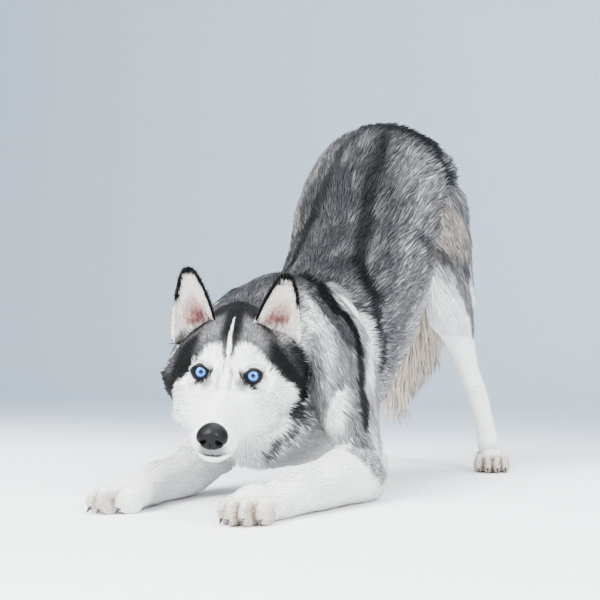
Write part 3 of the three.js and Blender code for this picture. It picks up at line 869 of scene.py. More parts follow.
# What each place on the skin belongs to, and which way its hair runs

def addEarSamples():
    u, v = np.meshgrid(np.linspace(-1, 1, 15), np.linspace(0.02, 0.98, 16))
    u, v = u.ravel(), v.ravel()
    for side in (1, -1):
        root, tall, up, back, across = earAxes(side)
        run = np.tile(up, (len(u), 1)) + np.outer(u, across) * 0.25
        addSamples("ear", fromHead(onEar(side, u, v)), run @ headTurn.T, v, u)


addEarSamples()
samples = {key: np.concatenate(values) for key, values in samples.items()}
groups = {name: [name] for name in ("torso", "neck", "head", "tail", "ear", "paw")}
groups["arm"] = ["upperArmLeft", "upperArmRight"]
groups["forearm"] = ["forearmLeft", "forearmRight"]
groups["hind"] = ["hindLeft", "hindRight"]
groupNames = list(groups)
groupOf = np.array([next(i for i, g in enumerate(groupNames) if n in groups[g]) for n in partNames])


def groupShare(member, name):
    return member[:, groupNames.index(name)]


skin.data.calc_loop_triangles()
tri = readMany(skin.data.loop_triangles, "vertices", 3, int)
triCorners = readMany(skin.data.loop_triangles, "loops", 3, int)
edges = readMany(skin.data.edges, "vertices", 2, int)
normals = readMany(skin.data.vertices, "normal", 3)
skinOwn = toOwn(readPlaces(skin))
vertexCount = len(skinOwn)


def spreadOut(values, rounds, share=0.7):
    # evens values out over the skin
    values = np.array(values, float)
    flat = values.reshape(vertexCount, -1)
    ends = np.concatenate([edges, edges[:, ::-1]])
    degree = np.maximum(np.bincount(ends[:, 0], minlength=vertexCount), 1)
    for _ in range(rounds):
        for k in range(flat.shape[1]):
            total = np.bincount(ends[:, 0], weights=flat[ends[:, 1], k], minlength=vertexCount)
            flat[:, k] += share * (total / degree - flat[:, k])
    return flat.reshape(values.shape)


def nearestSamples():
    places = samples["place"]
    tree = kdtree.KDTree(len(places))
    for index, place in enumerate(places.tolist()):
        tree.insert(place, index)
    tree.balance()
    return np.array([tree.find(place)[1] for place in skinOwn.tolist()])


nearest = nearestSamples()
along = samples["t"][nearest]
around = samples["angle"][nearest]
membership = np.zeros((vertexCount, len(groupNames)))
membership[np.arange(vertexCount), groupOf[samples["part"][nearest]]] = 1
membership = spreadOut(membership, 10)
print("skin mapped")


noseMiddle = vec(0, -112, -34)


def headFlow(p):
    # away from the nose, round the eyes, down and out over the cheeks
    x, y, z = p.T
    flow = unit(p - noseMiddle) + vec(0, 0.35, 0)
    cheek = fade(np.abs(x), 36, 66) * fade(-z, -20, 10)
    flow[:, 2] -= 0.75 * cheek
    flow[:, 0] += 0.4 * cheek * np.sign(x)
    flow[:, 1] += 0.5 * fade(-z, 52, 80)
    flow[:, 2] -= 0.7 * fade(-z, 26, 48) * fade(y, -34, -6)
    for side in (-1, 1):
        centre, out, along, up = eyeFrame(side)
        away = p - centre
        near = 1 - fade(np.linalg.norm(away, axis=1), 13, 30)
        flow += near[:, None] * unit(away - np.outer(away @ out, out)) * 0.9
    return flow


def makeFlow():
    flow = unit(samples["flow"])[nearest]
    local = toHead(skinOwn)
    onHead = groupShare(membership, "head") > 0.5
    flow[onHead] = unit(headFlow(local[onHead])) @ headTurn.T
    flow = spreadOut(flow, 14)
    flow -= normals * np.sum(flow * normals, axis=1)[:, None]
    return unit(flow)


flow = makeFlow()


# Markings, in mm: strokes are given on the left side and mirrored to the right where they say so

paint = {
    "white": tone(248, 248, 247),
    "cream": tone(222, 216, 206),
    "silver": tone(160, 160, 162),
    "grey": tone(100, 100, 102),
    "slate": tone(42, 43, 46),
    "charcoal": tone(12, 12, 14),
    "black": tone(4, 4, 5),
    "beige": tone(134, 129, 122),
    "pink": tone(142, 106, 101),
    "flesh": tone(84, 50, 49),
    "tan": tone(106, 80, 70),
}


def strokeMask(places, points, half, soft, ragged=6):
    # 1 within half of a line of points, fading over soft, with a ragged edge
    points = np.asarray(points, float)
    best = np.full(len(places), 1e9)
    for start, end in zip(points[:-1], points[1:]):
        span = end - start
        share = np.clip(((places - start) @ span) / (span @ span), 0, 1)
        best = np.minimum(best, np.linalg.norm(places - start - np.outer(share, span), axis=1))
    best = best + ragged * softNoise(places, 11, 5)
    return 1 - fade(best, half, half + soft)


def blobMask(places, centre, radii, soft=0.5, ragged=0.12, scale=8):
    # 1 inside an egg, soft and ragged at its edge
    away = np.linalg.norm((places - vec(*centre)) / vec(*radii), axis=1)
    return 1 - fade(away + ragged * softNoise(places, scale, 9), 1 - soft / 2, 1 + soft / 2)


# tone, how strong, half width, softness, side (0 both, 1 left, -1 right), parts, then points (x, y, z)
bodyStrokes = [
    ("silver", 0.22, 14, 24, 0, ("torso", "hind"), [
        (62, 612, 462), (84, 634, 458), (102, 642, 428), (94, 612, 412), (72, 588, 420)]),
    ("charcoal", 0.9, 7, 12, 0, ("torso", "hind"), [
        (0, 655, 516), (30, 656, 508), (65, 674, 496), (84, 668, 478), (99, 665, 455), (108, 678, 438)]),
    ("slate", 0.8, 3, 8, 0, ("torso", "hind"), [(108, 678, 438), (112, 676, 415), (118, 690, 392)]),
    ("charcoal", 0.8, 4, 13, 0, ("torso",), [
        (20, 613, 487), (27, 580, 453), (30, 559, 430), (24, 547, 421), (32, 522, 387), (38, 511, 366),
        (41, 495, 347), (46, 471, 318)]),
    ("charcoal", 0.8, 4, 12, -1, ("torso",), [
        (27, 552, 424), (21, 522, 394), (29, 509, 373), (51, 509, 351), (72, 530, 337), (69, 497, 310)]),
    ("slate", 0.7, 3, 12, -1, ("torso",), [(73, 592, 425), (57, 549, 390), (60, 530, 364), (59, 513, 340)]),
    ("slate", 0.6, 5, 16, 0, ("torso",), [(52, 570, 425), (62, 540, 385), (74, 520, 345), (78, 495, 300)]),
    ("beige", 0.6, 7, 10, -1, ("torso",), [(88, 585, 402), (80, 559, 370), (66, 528, 352)]),
    ("slate", 0.8, 6, 14, 1, ("torso", "neck"), [
        (24, 427, 302), (36, 440, 300), (49, 457, 303), (62, 450, 282)]),
    ("black", 0.9, 5, 13, 0, ("torso", "neck"), [(49, 457, 306), (62, 450, 282), (76, 447, 260)]),
    ("charcoal", 0.72, 3.5, 8, 0, ("torso", "arm"), [
        (69, 438, 267), (81, 438, 248), (90, 425, 224), (96, 427, 210), (98, 425, 175), (110, 420, 150)]),
    ("white", 0.95, 4, 7, 0, ("torso", "arm"), [(80, 337, 256), (92, 342, 241), (82, 372, 248)]),
    ("white", 0.85, 6, 7, 0, ("torso", "arm"), [
        (84, 388, 240), (85, 405, 224), (93, 398, 200), (96, 396, 180)]),
    ("white", 0.85, 6, 7, 0, ("torso", "arm"), [
        (92, 342, 241), (109, 347, 200), (127, 313, 184), (135, 296, 158), (139, 285, 140)]),
    ("silver", 0.9, 4, 6, 0, ("torso", "arm"), [
        (139, 285, 140), (141, 296, 121), (142, 306, 100), (143, 310, 76), (142, 312, 56)]),
    ("grey", 0.8, 8, 8, 0, ("arm", "torso"), [
        (108, 272, 214), (121, 261, 191), (127, 250, 165), (126, 242, 148)]),
    ("white", 0.5, 5, 8, 0, ("arm", "neck", "torso"), [
        (55, 277, 256), (75, 264, 240), (90, 248, 221), (107, 232, 191), (107, 226, 170), (101, 224, 146)]),
    ("grey", 0.55, 6, 10, 0, ("arm", "neck", "torso"), [(80, 228, 208), (93, 223, 182), (97, 224, 157)]),
    ("white", 0.95, 9, 8, 0, ("arm",), [(124, 238, 131), (118, 237, 119), (109, 242, 104), (99, 238, 84)]),
    ("white", 0.95, 14, 8, 0, ("torso",), [(64, 296, 80), (70, 290, 62)]),
    ("grey", 0.55, 9, 9, 0, ("arm",), [(134, 256, 134), (136, 265, 111), (135, 271, 91), (136, 275, 69)]),
    ("grey", 0.7, 8, 10, 0, ("arm", "forearm"), [
        (136, 256, 100), (139, 262, 80), (144, 278, 62), (148, 296, 44), (148, 312, 30)]),
    ("slate", 0.45, 1.5, 6, 0, ("arm", "forearm"), [
        (122, 250, 72), (134, 258, 62), (142, 270, 50), (147, 284, 36)]),
    ("slate", 0.85, 10, 9, 0, ("arm", "neck", "torso"), [
        (50, 318, 266), (66, 296, 258), (80, 283, 246), (94, 276, 230), (106, 278, 214), (116, 276, 200)]),
    ("black", 0.95, 8, 7, 0, ("torso", "neck", "arm"), [
        (0, 379, 288), (17, 375, 281), (50, 330, 270), (73, 303, 256), (88, 291, 242), (100, 303, 231)]),
    ("black", 0.95, 5, 7, 0, ("torso", "neck", "arm"), [(100, 303, 231), (112, 302, 216), (125, 284, 193)]),
    ("charcoal", 0.85, 2.5, 9, 0, ("torso", "arm"), [
        (125, 284, 193), (131, 273, 171), (134, 266, 152), (137, 265, 138), (138, 273, 118), (140, 276, 96)]),
    ("grey", 0.85, 12, 10, 0, ("head", "neck", "torso", "arm"), [
        (80, 196, 189), (88, 212, 175), (90, 223, 158), (91, 228, 140), (86, 236, 122), (76, 243, 106)]),
    ("slate", 0.85, 7, 8, 0, ("head", "neck", "torso", "arm"), [
        (74, 192, 194), (84, 208, 177), (84, 220, 160), (80, 222, 145), (72, 230, 128), (66, 232, 112)]),
    ("charcoal", 0.7, 3, 6, 0, ("head", "neck", "torso", "arm"), [
        (77, 201, 192), (84, 211, 177), (81, 221, 162), (77, 224, 146), (69, 234, 127), (64, 236, 109)]),
    ("slate", 0.8, 2.5, 6, 0, ("head", "neck", "torso", "arm"), [
        (69, 234, 127), (64, 236, 109), (58, 236, 89), (39, 226, 75), (25, 232, 57)]),
    ("white", 0.95, 13, 9, 0, ("hind", "torso"), [
        (96, 634, 272), (102, 645, 240), (108, 662, 216), (108, 700, 188)]),
    ("slate", 0.75, 4, 10, 0, ("hind", "torso"), [
        (94, 570, 352), (99, 586, 334), (110, 636, 318), (118, 659, 308), (124, 690, 297)]),
    ("grey", 0.9, 8, 9, 0, ("hind",), [(116, 656, 306), (121, 676, 278), (122, 704, 248), (117, 735, 212)]),
]


# Each painter gets places, how far along the part they are (0 to 1) and how high round it (-1 to 1)

def paintTorso(places, t, height):
    wave = softNoise(places, 34, 21) * 0.16 + softNoise(places, 13, 22) * 0.08
    h = height + wave
    streak = softNoise(np.column_stack([t * 150, height * 100, places[:, 0] * 0.5]), 6.5, 27)
    upper = fade(h, 0.0, 0.5)
    return layered(
        places, paint["grey"] * 1.05,
        (fade(h, 0.3, 0.8) * 0.85, paint["grey"] * 0.37),
        (fade(h, 0.8, 1.0) * fade(t, 0.2, 0.4) * 0.75, paint["slate"] * 0.9),
        (fade(streak, 0.05, 0.55) * 0.6 * upper, paint["slate"]),
        (fade(-streak, 0.25, 0.6) * 0.2 * upper, paint["silver"]),
        (fade(h, 0.5, 0.8) * fade(t, 0.8, 0.88) * 0.8, paint["charcoal"]),
        (fade(-h, 0.0, 0.4), paint["silver"]),
        (fade(-h, 0.55, 0.85), paint["cream"]),
        (fade(-t, -0.3, -0.12) * fade(-h, -0.1, 0.3), paint["white"]),
    )


def paintNeck(places, t, height):
    h = height + softNoise(places, 26, 23) * 0.2
    mottle = 0.75 + 0.25 * softNoise(places, 11, 28)
    return layered(
        places, paint["white"], (fade(h, 0.3, 0.7) * 0.9, paint["grey"]),
        (fade(h, 0.7, 0.97) * mottle, paint["slate"] * 0.8))


def paintArm(places, t, height):
    shaded = blobMask(folded(places), (142, 268, 70), (40, 30, 44))
    return layered(
        places, paint["grey"] * 1.7, (fade(-places[:, 2], -120, -50), paint["white"]),
        (shaded * 0.6, paint["silver"]))


def paintHind(places, t, height):
    wave = softNoise(places, 24, 25) * 14
    y, z = places[:, 1] + wave, places[:, 2] + wave
    thigh = blobMask(places * vec(0, 1, 1), (0, 642, 352), (1, 52, 44), 0.5, 0.15, 14)
    rearLine = np.interp(places[:, 2], (0, 150, 300), (790, 768, 730))
    return layered(
        places, paint["white"],
        (fade(z, 265, 315), paint["grey"] * 1.2),
        (thigh * fade(z, 285, 315), paint["beige"]),
        (fade(y - rearLine, -6, 16) * fade(z, 150, 200) * 0.8, paint["grey"]),
    )


def paintTail(places, t, height):
    return layered(
        places, paint["cream"] * vec(1.06, 1.01, 0.97),
        (fade(-t, -0.5, -0.05) * fade(height, -0.2, 0.6), paint["slate"]),
        (0.6 * fade(height, 0.1, 0.9) * fade(t, 0.2, 0.9), paint["beige"]),
        (fade(t, 0.85, 1), paint["white"]),
    )


def paintPaw(places, t, height):
    y, z = places[:, 1], places[:, 2]
    toes = fade(-z, -36, -14) * (fade(-y, -70, -40) + fade(y, 700, 710))
    # the toe fronts beige; the gaps between the toes dark tan: brownish fur with painted shade in the creases
    return layered(
        places, paint["white"], (0.8 * toes, paint["cream"] * vec(0.9, 0.87, 0.83)),
        (0.7 * toeCrease(places) * fade(-z, -34, -20), paint["tan"]))


# the white face's edge on the dog's right, then on its left: height against x on top, depth against
# height at the back
maskEdges = (
    (((-70, -65, -62, -55, -48, -46, -42, -32, -27, -18, -10, -5, 0),
      (-50, -30, -20, -11, -5, 1, 9, 19, 29, 33, 31, 20, 14)),
     ((-80, -50, -30, -8, 10, 40), (22, 12, 8, 14, 15, 15))),
    (((0, 5, 10, 18, 27, 36, 46, 57, 66, 74, 80), (14, 20, 31, 35, 32, 23, 13, 2, -8, -18, -40)),
     ((-80, -50, -20, -8, 10, 40), (44, 38, 24, 17, 17, 17))),
)
# the dark lines beside the blaze, from the crown down to the bridge, right then left
browLines = (
    ((-7, 28, 50), (-7, 16, 40), (-6, 8, 32), (-4, 0, 22), (-2, -12, 13), (-2, -24, 3), (-5, -31, -4)),
    ((7, 28, 50), (6, 16, 40), (5, 9, 33), (4, 3, 25), (5, -12, 13), (11, -19, 5), (15, -23, 0)),
)


def maskLine(p):
    # how far past the edge of the white face, in mm
    x, y, z = p.T
    right, left = [np.maximum(z - np.interp(x, *top), y - np.interp(z, *back)) for top, back in maskEdges]
    return np.where(x > 0, left, right)


def paintHead(places, t, height):
    p = toHead(places)
    jitter = softNoise(places, 5, 31) * 1.5 + softNoise(places, 15, 32) * 1.5
    side, y, z = np.abs(p[:, 0]), p[:, 1], p[:, 2]
    cap = maskLine(p) + jitter
    lighter = blobMask(p, (30, 40, 44), (20, 24, 20), 0.9) + blobMask(p, (-30, 40, 44), (20, 24, 20), 0.9)
    darker = fade(16 - side, 0, 10) * fade(z, 24, 44)
    outer = side + np.maximum(-z - 30, 0) + 7 * (p[:, 0] < 0)
    darker = np.maximum(darker, fade(outer, 40, 53) * (1 - fade(cap, 24, 42)))
    darker = np.maximum(darker, fade(y, 54, 70) * 0.85)
    layers = [
        (fade(-y, 20, 60) * fade(z, -40, -20) * 0.15, paint["silver"]),
        (fade(cap, -1.5, 4), paint["grey"] * 0.62),
        (0.5 * lighter * fade(cap, 0, 5), paint["silver"] * 0.7),
        (darker * fade(cap, 0, 6) * 0.95, paint["charcoal"]),
    ]
    for s, line in zip((-1, 1), browLines):
        bridge = ((s * 8, -12, 8), (s * 7, -30, -6))
        layers += [
            (strokeMask(p, line, 0.6, 2.4, 0.6) * (0.55 + 0.4 * fade(z, 4, 22)), paint["charcoal"]),
            (0.55 * blobMask(p, (s * 21, -17, -4), (7, 12, 8), 1.2, 0.1, 5), paint["slate"]),
            # painted shade: faint grey lines down the sides of the bridge give the muzzle its form
            (0.35 * strokeMask(p, bridge, 0.8, 3, 1.0), paint["grey"]),
            (0.9 * (1 - fade(eyeGap(p, s), 2.4, 5.2)), paint["black"]),
        ]
    slim = 0.6 + 2.3 * np.exp(-(((z - 32) / 15) ** 2)) + 0.3 * jitter
    blaze = fade(slim - side, -0.8, 0.8) * fade(z, 4, 10) * (1 - fade(z, 52, 57)) * (y < 50)
    # the lips black, darkest at the front where the mouth parts: black lip skin, with painted shade for the
    # opening
    lip = 1 - fade(np.abs(z - mouthHeight(y) - 0.5), 1.2, 2.8)
    parted = fade(-y, 92, 104) * (1 - fade(side, 7, 13))
    upper = fade(-y, 90, 100) * fade(-z, 40, 46) * (1 - fade(-z, 55, 58)) * (1 - fade(side, 10, 21))
    layers += [
        (blaze, paint["white"]),
        ((0.25 + 0.75 * parted) * lip * fade(-y, 40, 60) * (z < -40), paint["black"]),
        (0.62 * upper, paint["slate"]),
    ]
    return layered(places, paint["white"], *layers)


def eyeGap(p, side):
    # how far outside the eye's opening, in mm
    centre, out, along, up = eyeFrame(side)
    far = np.linalg.norm(p - centre, axis=1)
    e = unit(p - centre) * eye["radius"]
    gap = almondGap(e @ along, e @ up)
    return np.where((e @ out > 0) & (far < 20), gap, 30)


def paintEar(places, t, u):
    # cream inside with a warm middle and a darker red deep in the cup, pink skin with painted shade, a black
    # edge from the tip down, dark behind
    p = toHead(places)
    u = np.arcsin(np.clip(u, -1, 1)) + 0.12 * softNoise(places, 6, 33)
    v = t + 0.05 * softNoise(places, 8, 34)
    warm = np.hypot((u - 0.05) / 0.55, (v - 0.27) / np.where(v > 0.27, 0.4, 0.3))
    deep = np.hypot(u / 0.36, (v - 0.18) / 0.24)
    rim = (1 - np.abs(np.sin(u))) * earHalf(t) + 0.4 * softNoise(places, 6, 35)
    edge = (1 - fade(rim, 5.6, 7.0)) * np.where(u < 0, fade(v, 0.0, 0.06), fade(v, 0.42, 0.56))
    depth = np.zeros(len(p))
    for s in (-1, 1):
        root, tall, up, back, across = earAxes(s)
        chosen = (p[:, 0] > 0) == (s > 0)
        away = p[chosen] - root
        w = np.clip((away @ up) / tall, 0, 1)
        sideways = np.clip((away @ across) / earHalf(w), -1, 1)
        depth[chosen] = away @ back - earCup(w) * np.sqrt(np.clip(1 - sideways**2, 0, 1))
    behind = layered(places, paint["slate"], (fade(v, 0.2, 0.7), paint["charcoal"]))
    return layered(
        places, paint["cream"] * 0.82,
        (0.85 * (1 - fade(warm, 0.3, 1.0)), paint["pink"]),
        # painted shade with the pink skin: the deepest part of the cup darker red
        (0.8 * (1 - fade(deep, 0.3, 1.0)), paint["flesh"]),
        (0.6 * fade(np.abs(u), 0.55, 0.8) * fade(-v, -0.3, 0), paint["white"]),
        (0.45 * (1 - fade(rim, 4, 13)) * fade(v, 0.3, 0.6), paint["grey"]),
        (np.maximum(edge, fade(v, 0.84, 0.89)), paint["black"]),
        (fade(depth, -0.6, 0.6), behind),
    )


painters = {
    "torso": paintTorso, "neck": paintNeck, "head": paintHead, "arm": paintArm, "hind": paintHind,
    "tail": paintTail, "forearm": paintPaw, "paw": paintPaw, "ear": paintEar,
}


def paintCoat(places, t, height, member):
    colour = np.zeros((len(places), 3))
    total = np.maximum(member.sum(axis=1), 1e-6)
    for index, name in enumerate(groupNames):
        chosen = member[:, index] > 0.01
        if chosen.any():
            share = (member[chosen, index] / total[chosen])[:, None]
            colour[chosen] += share * painters[name](places[chosen], t[chosen], height[chosen])
    leftSide = folded(places)
    for label, strength, half, soft, side, parts, points in bodyStrokes:
        mask = strokeMask(leftSide, points, half, soft, 4) * strength
        if side:
            mask = mask * fade(places[:, 0] * side, -6, 6)
        mask = mask * sum(groupShare(member, name) for name in parts) / total
        colour = layered(places, colour, (mask, paint[label]))
    return colour


height = np.sin(around)


# Skin colour, unwrap and material

skinPaintedShade = 0.88  # painted shade: the skin between the tufts is a little darker than they are, as the coat shades it


def paintSkin():
    colour = paintCoat(skinOwn, along, height, membership) * skinPaintedShade
    layer = skin.data.color_attributes.new("coatColour", "FLOAT_COLOR", "POINT")
    layer.data.foreach_set("color", np.column_stack([colour, np.ones(vertexCount)]).ravel())


def unwrapSkin():
    choose(skin)
    while skin.data.uv_layers:
        skin.data.uv_layers.remove(skin.data.uv_layers[0])
    skin.data.uv_layers.new(name="OFBake")
    bpy.ops.object.mode_set(mode="EDIT")
    bpy.ops.mesh.select_all(action="SELECT")
    bpy.ops.uv.smart_project(angle_limit=math.radians(66), island_margin=0.002)
    bpy.ops.object.mode_set(mode="OBJECT")
    return readMany(skin.data.uv_layers["OFBake"].data, "uv", 2)


paintSkin()
skinUv = unwrapSkin()
skin.data.materials.clear()
underCoat = {"Roughness": 0.85, "Specular IOR Level": 0.05}
dress(skin, paintedMaterial("underCoat", None, 700, 0.2, 0.3, underCoat))
print("skin painted and unwrapped")


# The coat: thin tufts from joined arrays, each rooted in the skin

rng = np.random.default_rng(11)

# length, width, how many in a square cm, how far the tips stand out, all in mm or per cm
coatKinds = {
    "torso": (30, 2.2, 11, 5.5), "neck": (22, 2.0, 16, 3.0), "tail": (52, 2.5, 11, 19),
    "arm": (17, 1.9, 18, 2.2), "forearm": (12, 1.8, 17, 1.6), "hind": (23, 2.1, 12, 3.2),
    "paw": (6.5, 1.4, 26, 1.1), "head": (11, 1.4, 38, 1.8), "ear": (5.5, 1.1, 32, 0.6),
}


def coatFields():
    rows = np.array([coatKinds[name] for name in groupNames])
    share = membership / membership.sum(axis=1, keepdims=True)
    onTorso, onNeck, onHead, onHind = [
        groupShare(share, name) for name in ("torso", "neck", "head", "hind")]
    length, width, density, lift = (share @ rows).T
    p = toHead(skinOwn)
    side, y, z = np.abs(p[:, 0]), p[:, 1], p[:, 2]
    ownY, ownZ = skinOwn[:, 1], skinOwn[:, 2]
    muzzle = fade(-y, 16, 60)
    cheek = fade(side, 38, 68) * fade(-z, -16, 16) * fade(y, 6, 26)
    crown = fade(y, 40, 90) * fade(z, -10, 20)
    under = fade(-z, 50, 72) * fade(y, -20, 20)
    jaw = fade(-z, 30, 48) * fade(y, -34, -6) * fade(side, 18, 34)
    low = fade(side, 36, 56) * fade(-z, 18, 40) * fade(y, 2, 22)
    longer = np.maximum.reduce([cheek, crown * 0.15, under, jaw * 0.8, low * 1.3])
    eyesNear = 1 - fade(np.minimum(eyeGap(p, 1), eyeGap(p, -1)), 4, 14)
    length = length + onHead * (longer * 16 - muzzle * 6.5) - onHead * eyesNear * 8
    width = width + onHead * (longer * 1.2 - muzzle * 0.5) - onHead * eyesNear * 0.6
    density = density + onHead * (muzzle * 26 - longer * 15 + eyesNear * 50)
    lift = lift + onHead * (longer * 3.4 - muzzle * 1.4 + low * 3) - onHead * eyesNear * 0.5
    # where the coat changes on the body, and by how much: length, width, density, lift
    changes = (
        (onTorso * fade(-ownY, -540, -430), (-9, 0, 4, -1.5)),  # shoulder
        ((onNeck + onTorso) * fade(-ownY, -232, -205), (-10, -0.4, 12, -1.6)),  # throat
        (onHind * fade(-ownZ, -270, -190), (-14, -0.9, 8, -3)),  # shank and pastern
        (onHind * fade(ownY, 710, 750) * fade(ownZ, 220, 280), (10, 0, 0, 1.5)),  # breeches
    )
    fields = np.array([length, width, density, lift])
    for mask, change in changes:
        fields = fields + np.outer(change, mask)
    # nothing on the nose, the eyes and the mouth line
    bare = np.zeros(vertexCount)
    for s in (-1, 1):
        bare = np.maximum(bare, 1 - fade(eyeGap(p, s), 1.6, 2.6))
    bare = np.maximum(bare, 1 - fade(np.linalg.norm((p - noseMiddle) / vec(19, 14, 15), axis=1), 0.95, 1.1))
    groove = (1 - fade(np.abs(z - mouthHeight(y)), 1.5, 3)) * fade(-y, 34, 46) * (z < -38)
    bare = np.maximum(bare, groove)
    bare = np.maximum(bare, fade(-ownZ, -4, -2) * (normals[:, 2] < -0.3))
    fields[2] *= 1 - bare * (ownY < 240) * (onHead > 0.3)
    fields[2] *= 1 - 0.95 * fade(-ownZ, -5, -2) * (normals[:, 2] < -0.5)
    fields[2] = np.maximum(fields[2], 0) * 0.95
    return fields


coatLength, coatWidth, coatDensity, coatLift = coatFields()
tuft = {
    "quickShare": 0.25,
    "quickWidth": 2,
    "steps": (-0.06, 0.36, 0.68, 1.0),  # share of the length
    "rises": (-0.1, 0.55, 0.87, 1.0),  # share of how far the tip stands out
    "widths": (0.75, 1.0, 0.72, 0.0),
    "ridge": 0.3,
    "sunk": 0.4,
    "floor": 0.5,
    "long": 29,  # a longer tuft has three rings of points before its tip, a shorter one two
    "perPiece": 190000,  # triangles
    "patch": 0.0014,  # half the width of its patch on the unwrap
}


def scatterRoots():
    corners = skinOwn[tri]
    area = np.linalg.norm(np.cross(corners[:, 1] - corners[:, 0], corners[:, 2] - corners[:, 0]), axis=1) / 2
    wanted = area / 100 * coatDensity[tri].mean(axis=1) * 1
    ends = np.cumsum(wanted)
    count = int(ends[-1])
    picks = np.searchsorted(ends, (np.arange(count) + rng.random(count)) * ends[-1] / count)
    face = np.minimum(picks, len(tri) - 1)
    a, b = rng.random(count), rng.random(count)
    flip = a + b > 1
    a[flip], b[flip] = 1 - a[flip], 1 - b[flip]
    return face, np.column_stack([1 - a - b, a, b])


rootFace, rootShare = scatterRoots()


def atRoots(values):
    return np.einsum("nk,nk...->n...", rootShare, values[tri[rootFace]])


def makeTufts():
    root = atRoots(skinOwn)
    count = len(root)
    normal, run = unit(atRoots(normals)), unit(atRoots(flow))
    length, width, lift = atRoots(coatLength), atRoots(coatWidth), atRoots(coatLift)
    # clumps: neighbours lean the same way
    lean = softNoise(root, 22, 41) * 0.35 + softNoise(root, 9, 42) * 0.22 + rng.normal(0, 0.07, count)
    run = unit(run + np.cross(normal, run) * lean[:, None])
    across = np.cross(normal, run)
    length = length * (1 + 0.22 * softNoise(root, 15, 43)) * rng.uniform(0.75, 1.2, count)
    lift = lift * (1 + 0.5 * softNoise(root, 18, 44)) * rng.uniform(0.6, 1.3, count)
    bend = softNoise(root, 12, 45) * 0.16
    rings = []
    for step, rise, wide in zip(tuft["steps"], tuft["rises"], tuft["widths"]):
        middle = root + run * (length * step)[:, None]
        middle = middle + normal * (lift * rise - tuft["sunk"])[:, None]
        middle = middle + across * (length * bend * step * step)[:, None]
        half = (width * wide / 2)[:, None]
        ring = middle[:, None, :]
        if wide > 0:
            ridge = middle + normal * half * 2 * tuft["ridge"]
            ring = np.stack([middle - across * half, middle + across * half, ridge], axis=1)
        ring[:, :, 2] = np.maximum(ring[:, :, 2], tuft["floor"])
        rings.append(ring)
    return root, length, run, rings


tuftRoot, tuftLength, tuftRun, tuftRings = makeTufts()
print("tufts laid,", len(tuftRoot))


def tuftColours():
    member = atRoots(membership)
    seen = tuftRoot + tuftRun * (tuftLength * 0.55)[:, None]
    colour = paintCoat(seen, atRoots(along), atRoots(height), member)
    grizzle = np.interp(colour.mean(axis=1), (0.01, 0.1, 0.35, 0.7), (0.12, 0.42, 0.3, 0.03))
    grizzle = grizzle * np.where(groupShare(member, "head") > 0.5, 0.55, 1)
    speck = np.exp(grizzle * (rng.normal(0, 1, len(colour)) + 0.8 * softNoise(seen, 7, 51)))
    return np.clip(colour * speck[:, None], 0.002, 0.95)


tuftColour = tuftColours()


def tuftShape(rings):
    # faces of one closed tuft: three sided rings, then the tip
    faces = [(0, 2, 1)]
    for k in range(rings - 1):
        for a in range(3):
            b = (a + 1) % 3
            faces.append((k * 3 + a, k * 3 + b, k * 3 + 3 + b))
            faces.append((k * 3 + a, k * 3 + 3 + b, k * 3 + 3 + a))
    top = rings * 3 - 3
    faces.extend((top + a, top + (a + 1) % 3, top + 3) for a in range(3))
    return np.array(faces)


def coatPiece(name, chosen, points, rings, material):
    shape = tuftShape(rings)
    each = rings * 3 + 1
    count = len(chosen)
    steps = np.append(np.repeat(np.arange(rings) / rings, 3), 1)
    faces = (shape[None] + (np.arange(count) * each)[:, None, None]).reshape(-1, 3)
    mesh = bpy.data.meshes.new(name)
    mesh.vertices.add(count * each)
    mesh.vertices.foreach_set("co", toFrame(points).ravel())
    mesh.loops.add(faces.size)
    mesh.loops.foreach_set("vertex_index", faces.ravel())
    mesh.polygons.add(len(faces))
    mesh.polygons.foreach_set("loop_start", np.arange(0, faces.size, 3))
    mesh.update(calc_edges=True)
    # each tuft is a small patch at its root's place on the skin's unwrap
    spread = np.array([(-1, -1), (1, -1), (0, -1)] * rings + [(0, 0)]) * tuft["patch"]
    spread[:, 1] += steps * tuft["patch"] * 2
    rootUv = np.einsum("nk,nkc->nc", rootShare[chosen], skinUv[triCorners[rootFace[chosen]]])
    uv = (rootUv[:, None, :] + spread[None])[:, shape.ravel()].reshape(-1, 2)
    mesh.uv_layers.new(name="OFBake").data.foreach_set("uv", uv.ravel())
    # painted shade: darker towards the root, where the coat shades it, and a little lighter at the tip; dark
    # tufts less so
    dim = 0.26 * (1 - 0.75 * tuftColour[chosen].mean(axis=1))
    shade = 1 - dim[:, None] * (1 - 1.4 * np.sqrt(steps))[None]
    colour = np.clip(tuftColour[chosen][:, None, :] * shade[:, :, None], 0, 1)
    full = np.concatenate([colour, np.ones((count, each, 1))], axis=2)
    mesh.color_attributes.new("coatColour", "FLOAT_COLOR", "POINT").data.foreach_set("color", full.ravel())
    # where on the strand each point lies, for the streaks: across it, its own number, along it
    strand = np.empty((count, each, 3))
    strand[:, :, 0] = np.append(np.tile([0, 1, 0.5], rings), 0.5) * 3.5
    strand[:, :, 1] = (chosen * 7.31 % 400)[:, None]
    strand[:, :, 2] = steps * 0.5
    mesh.attributes.new("strand", "FLOAT_VECTOR", "POINT").data.foreach_set("vector", strand.ravel())
    mesh.polygons.foreach_set("use_smooth", np.ones(len(faces), bool))
    mesh.materials.append(material)
    piece = bpy.data.objects.new(name, mesh)
    bpy.context.scene.collection.objects.link(piece)
    return piece


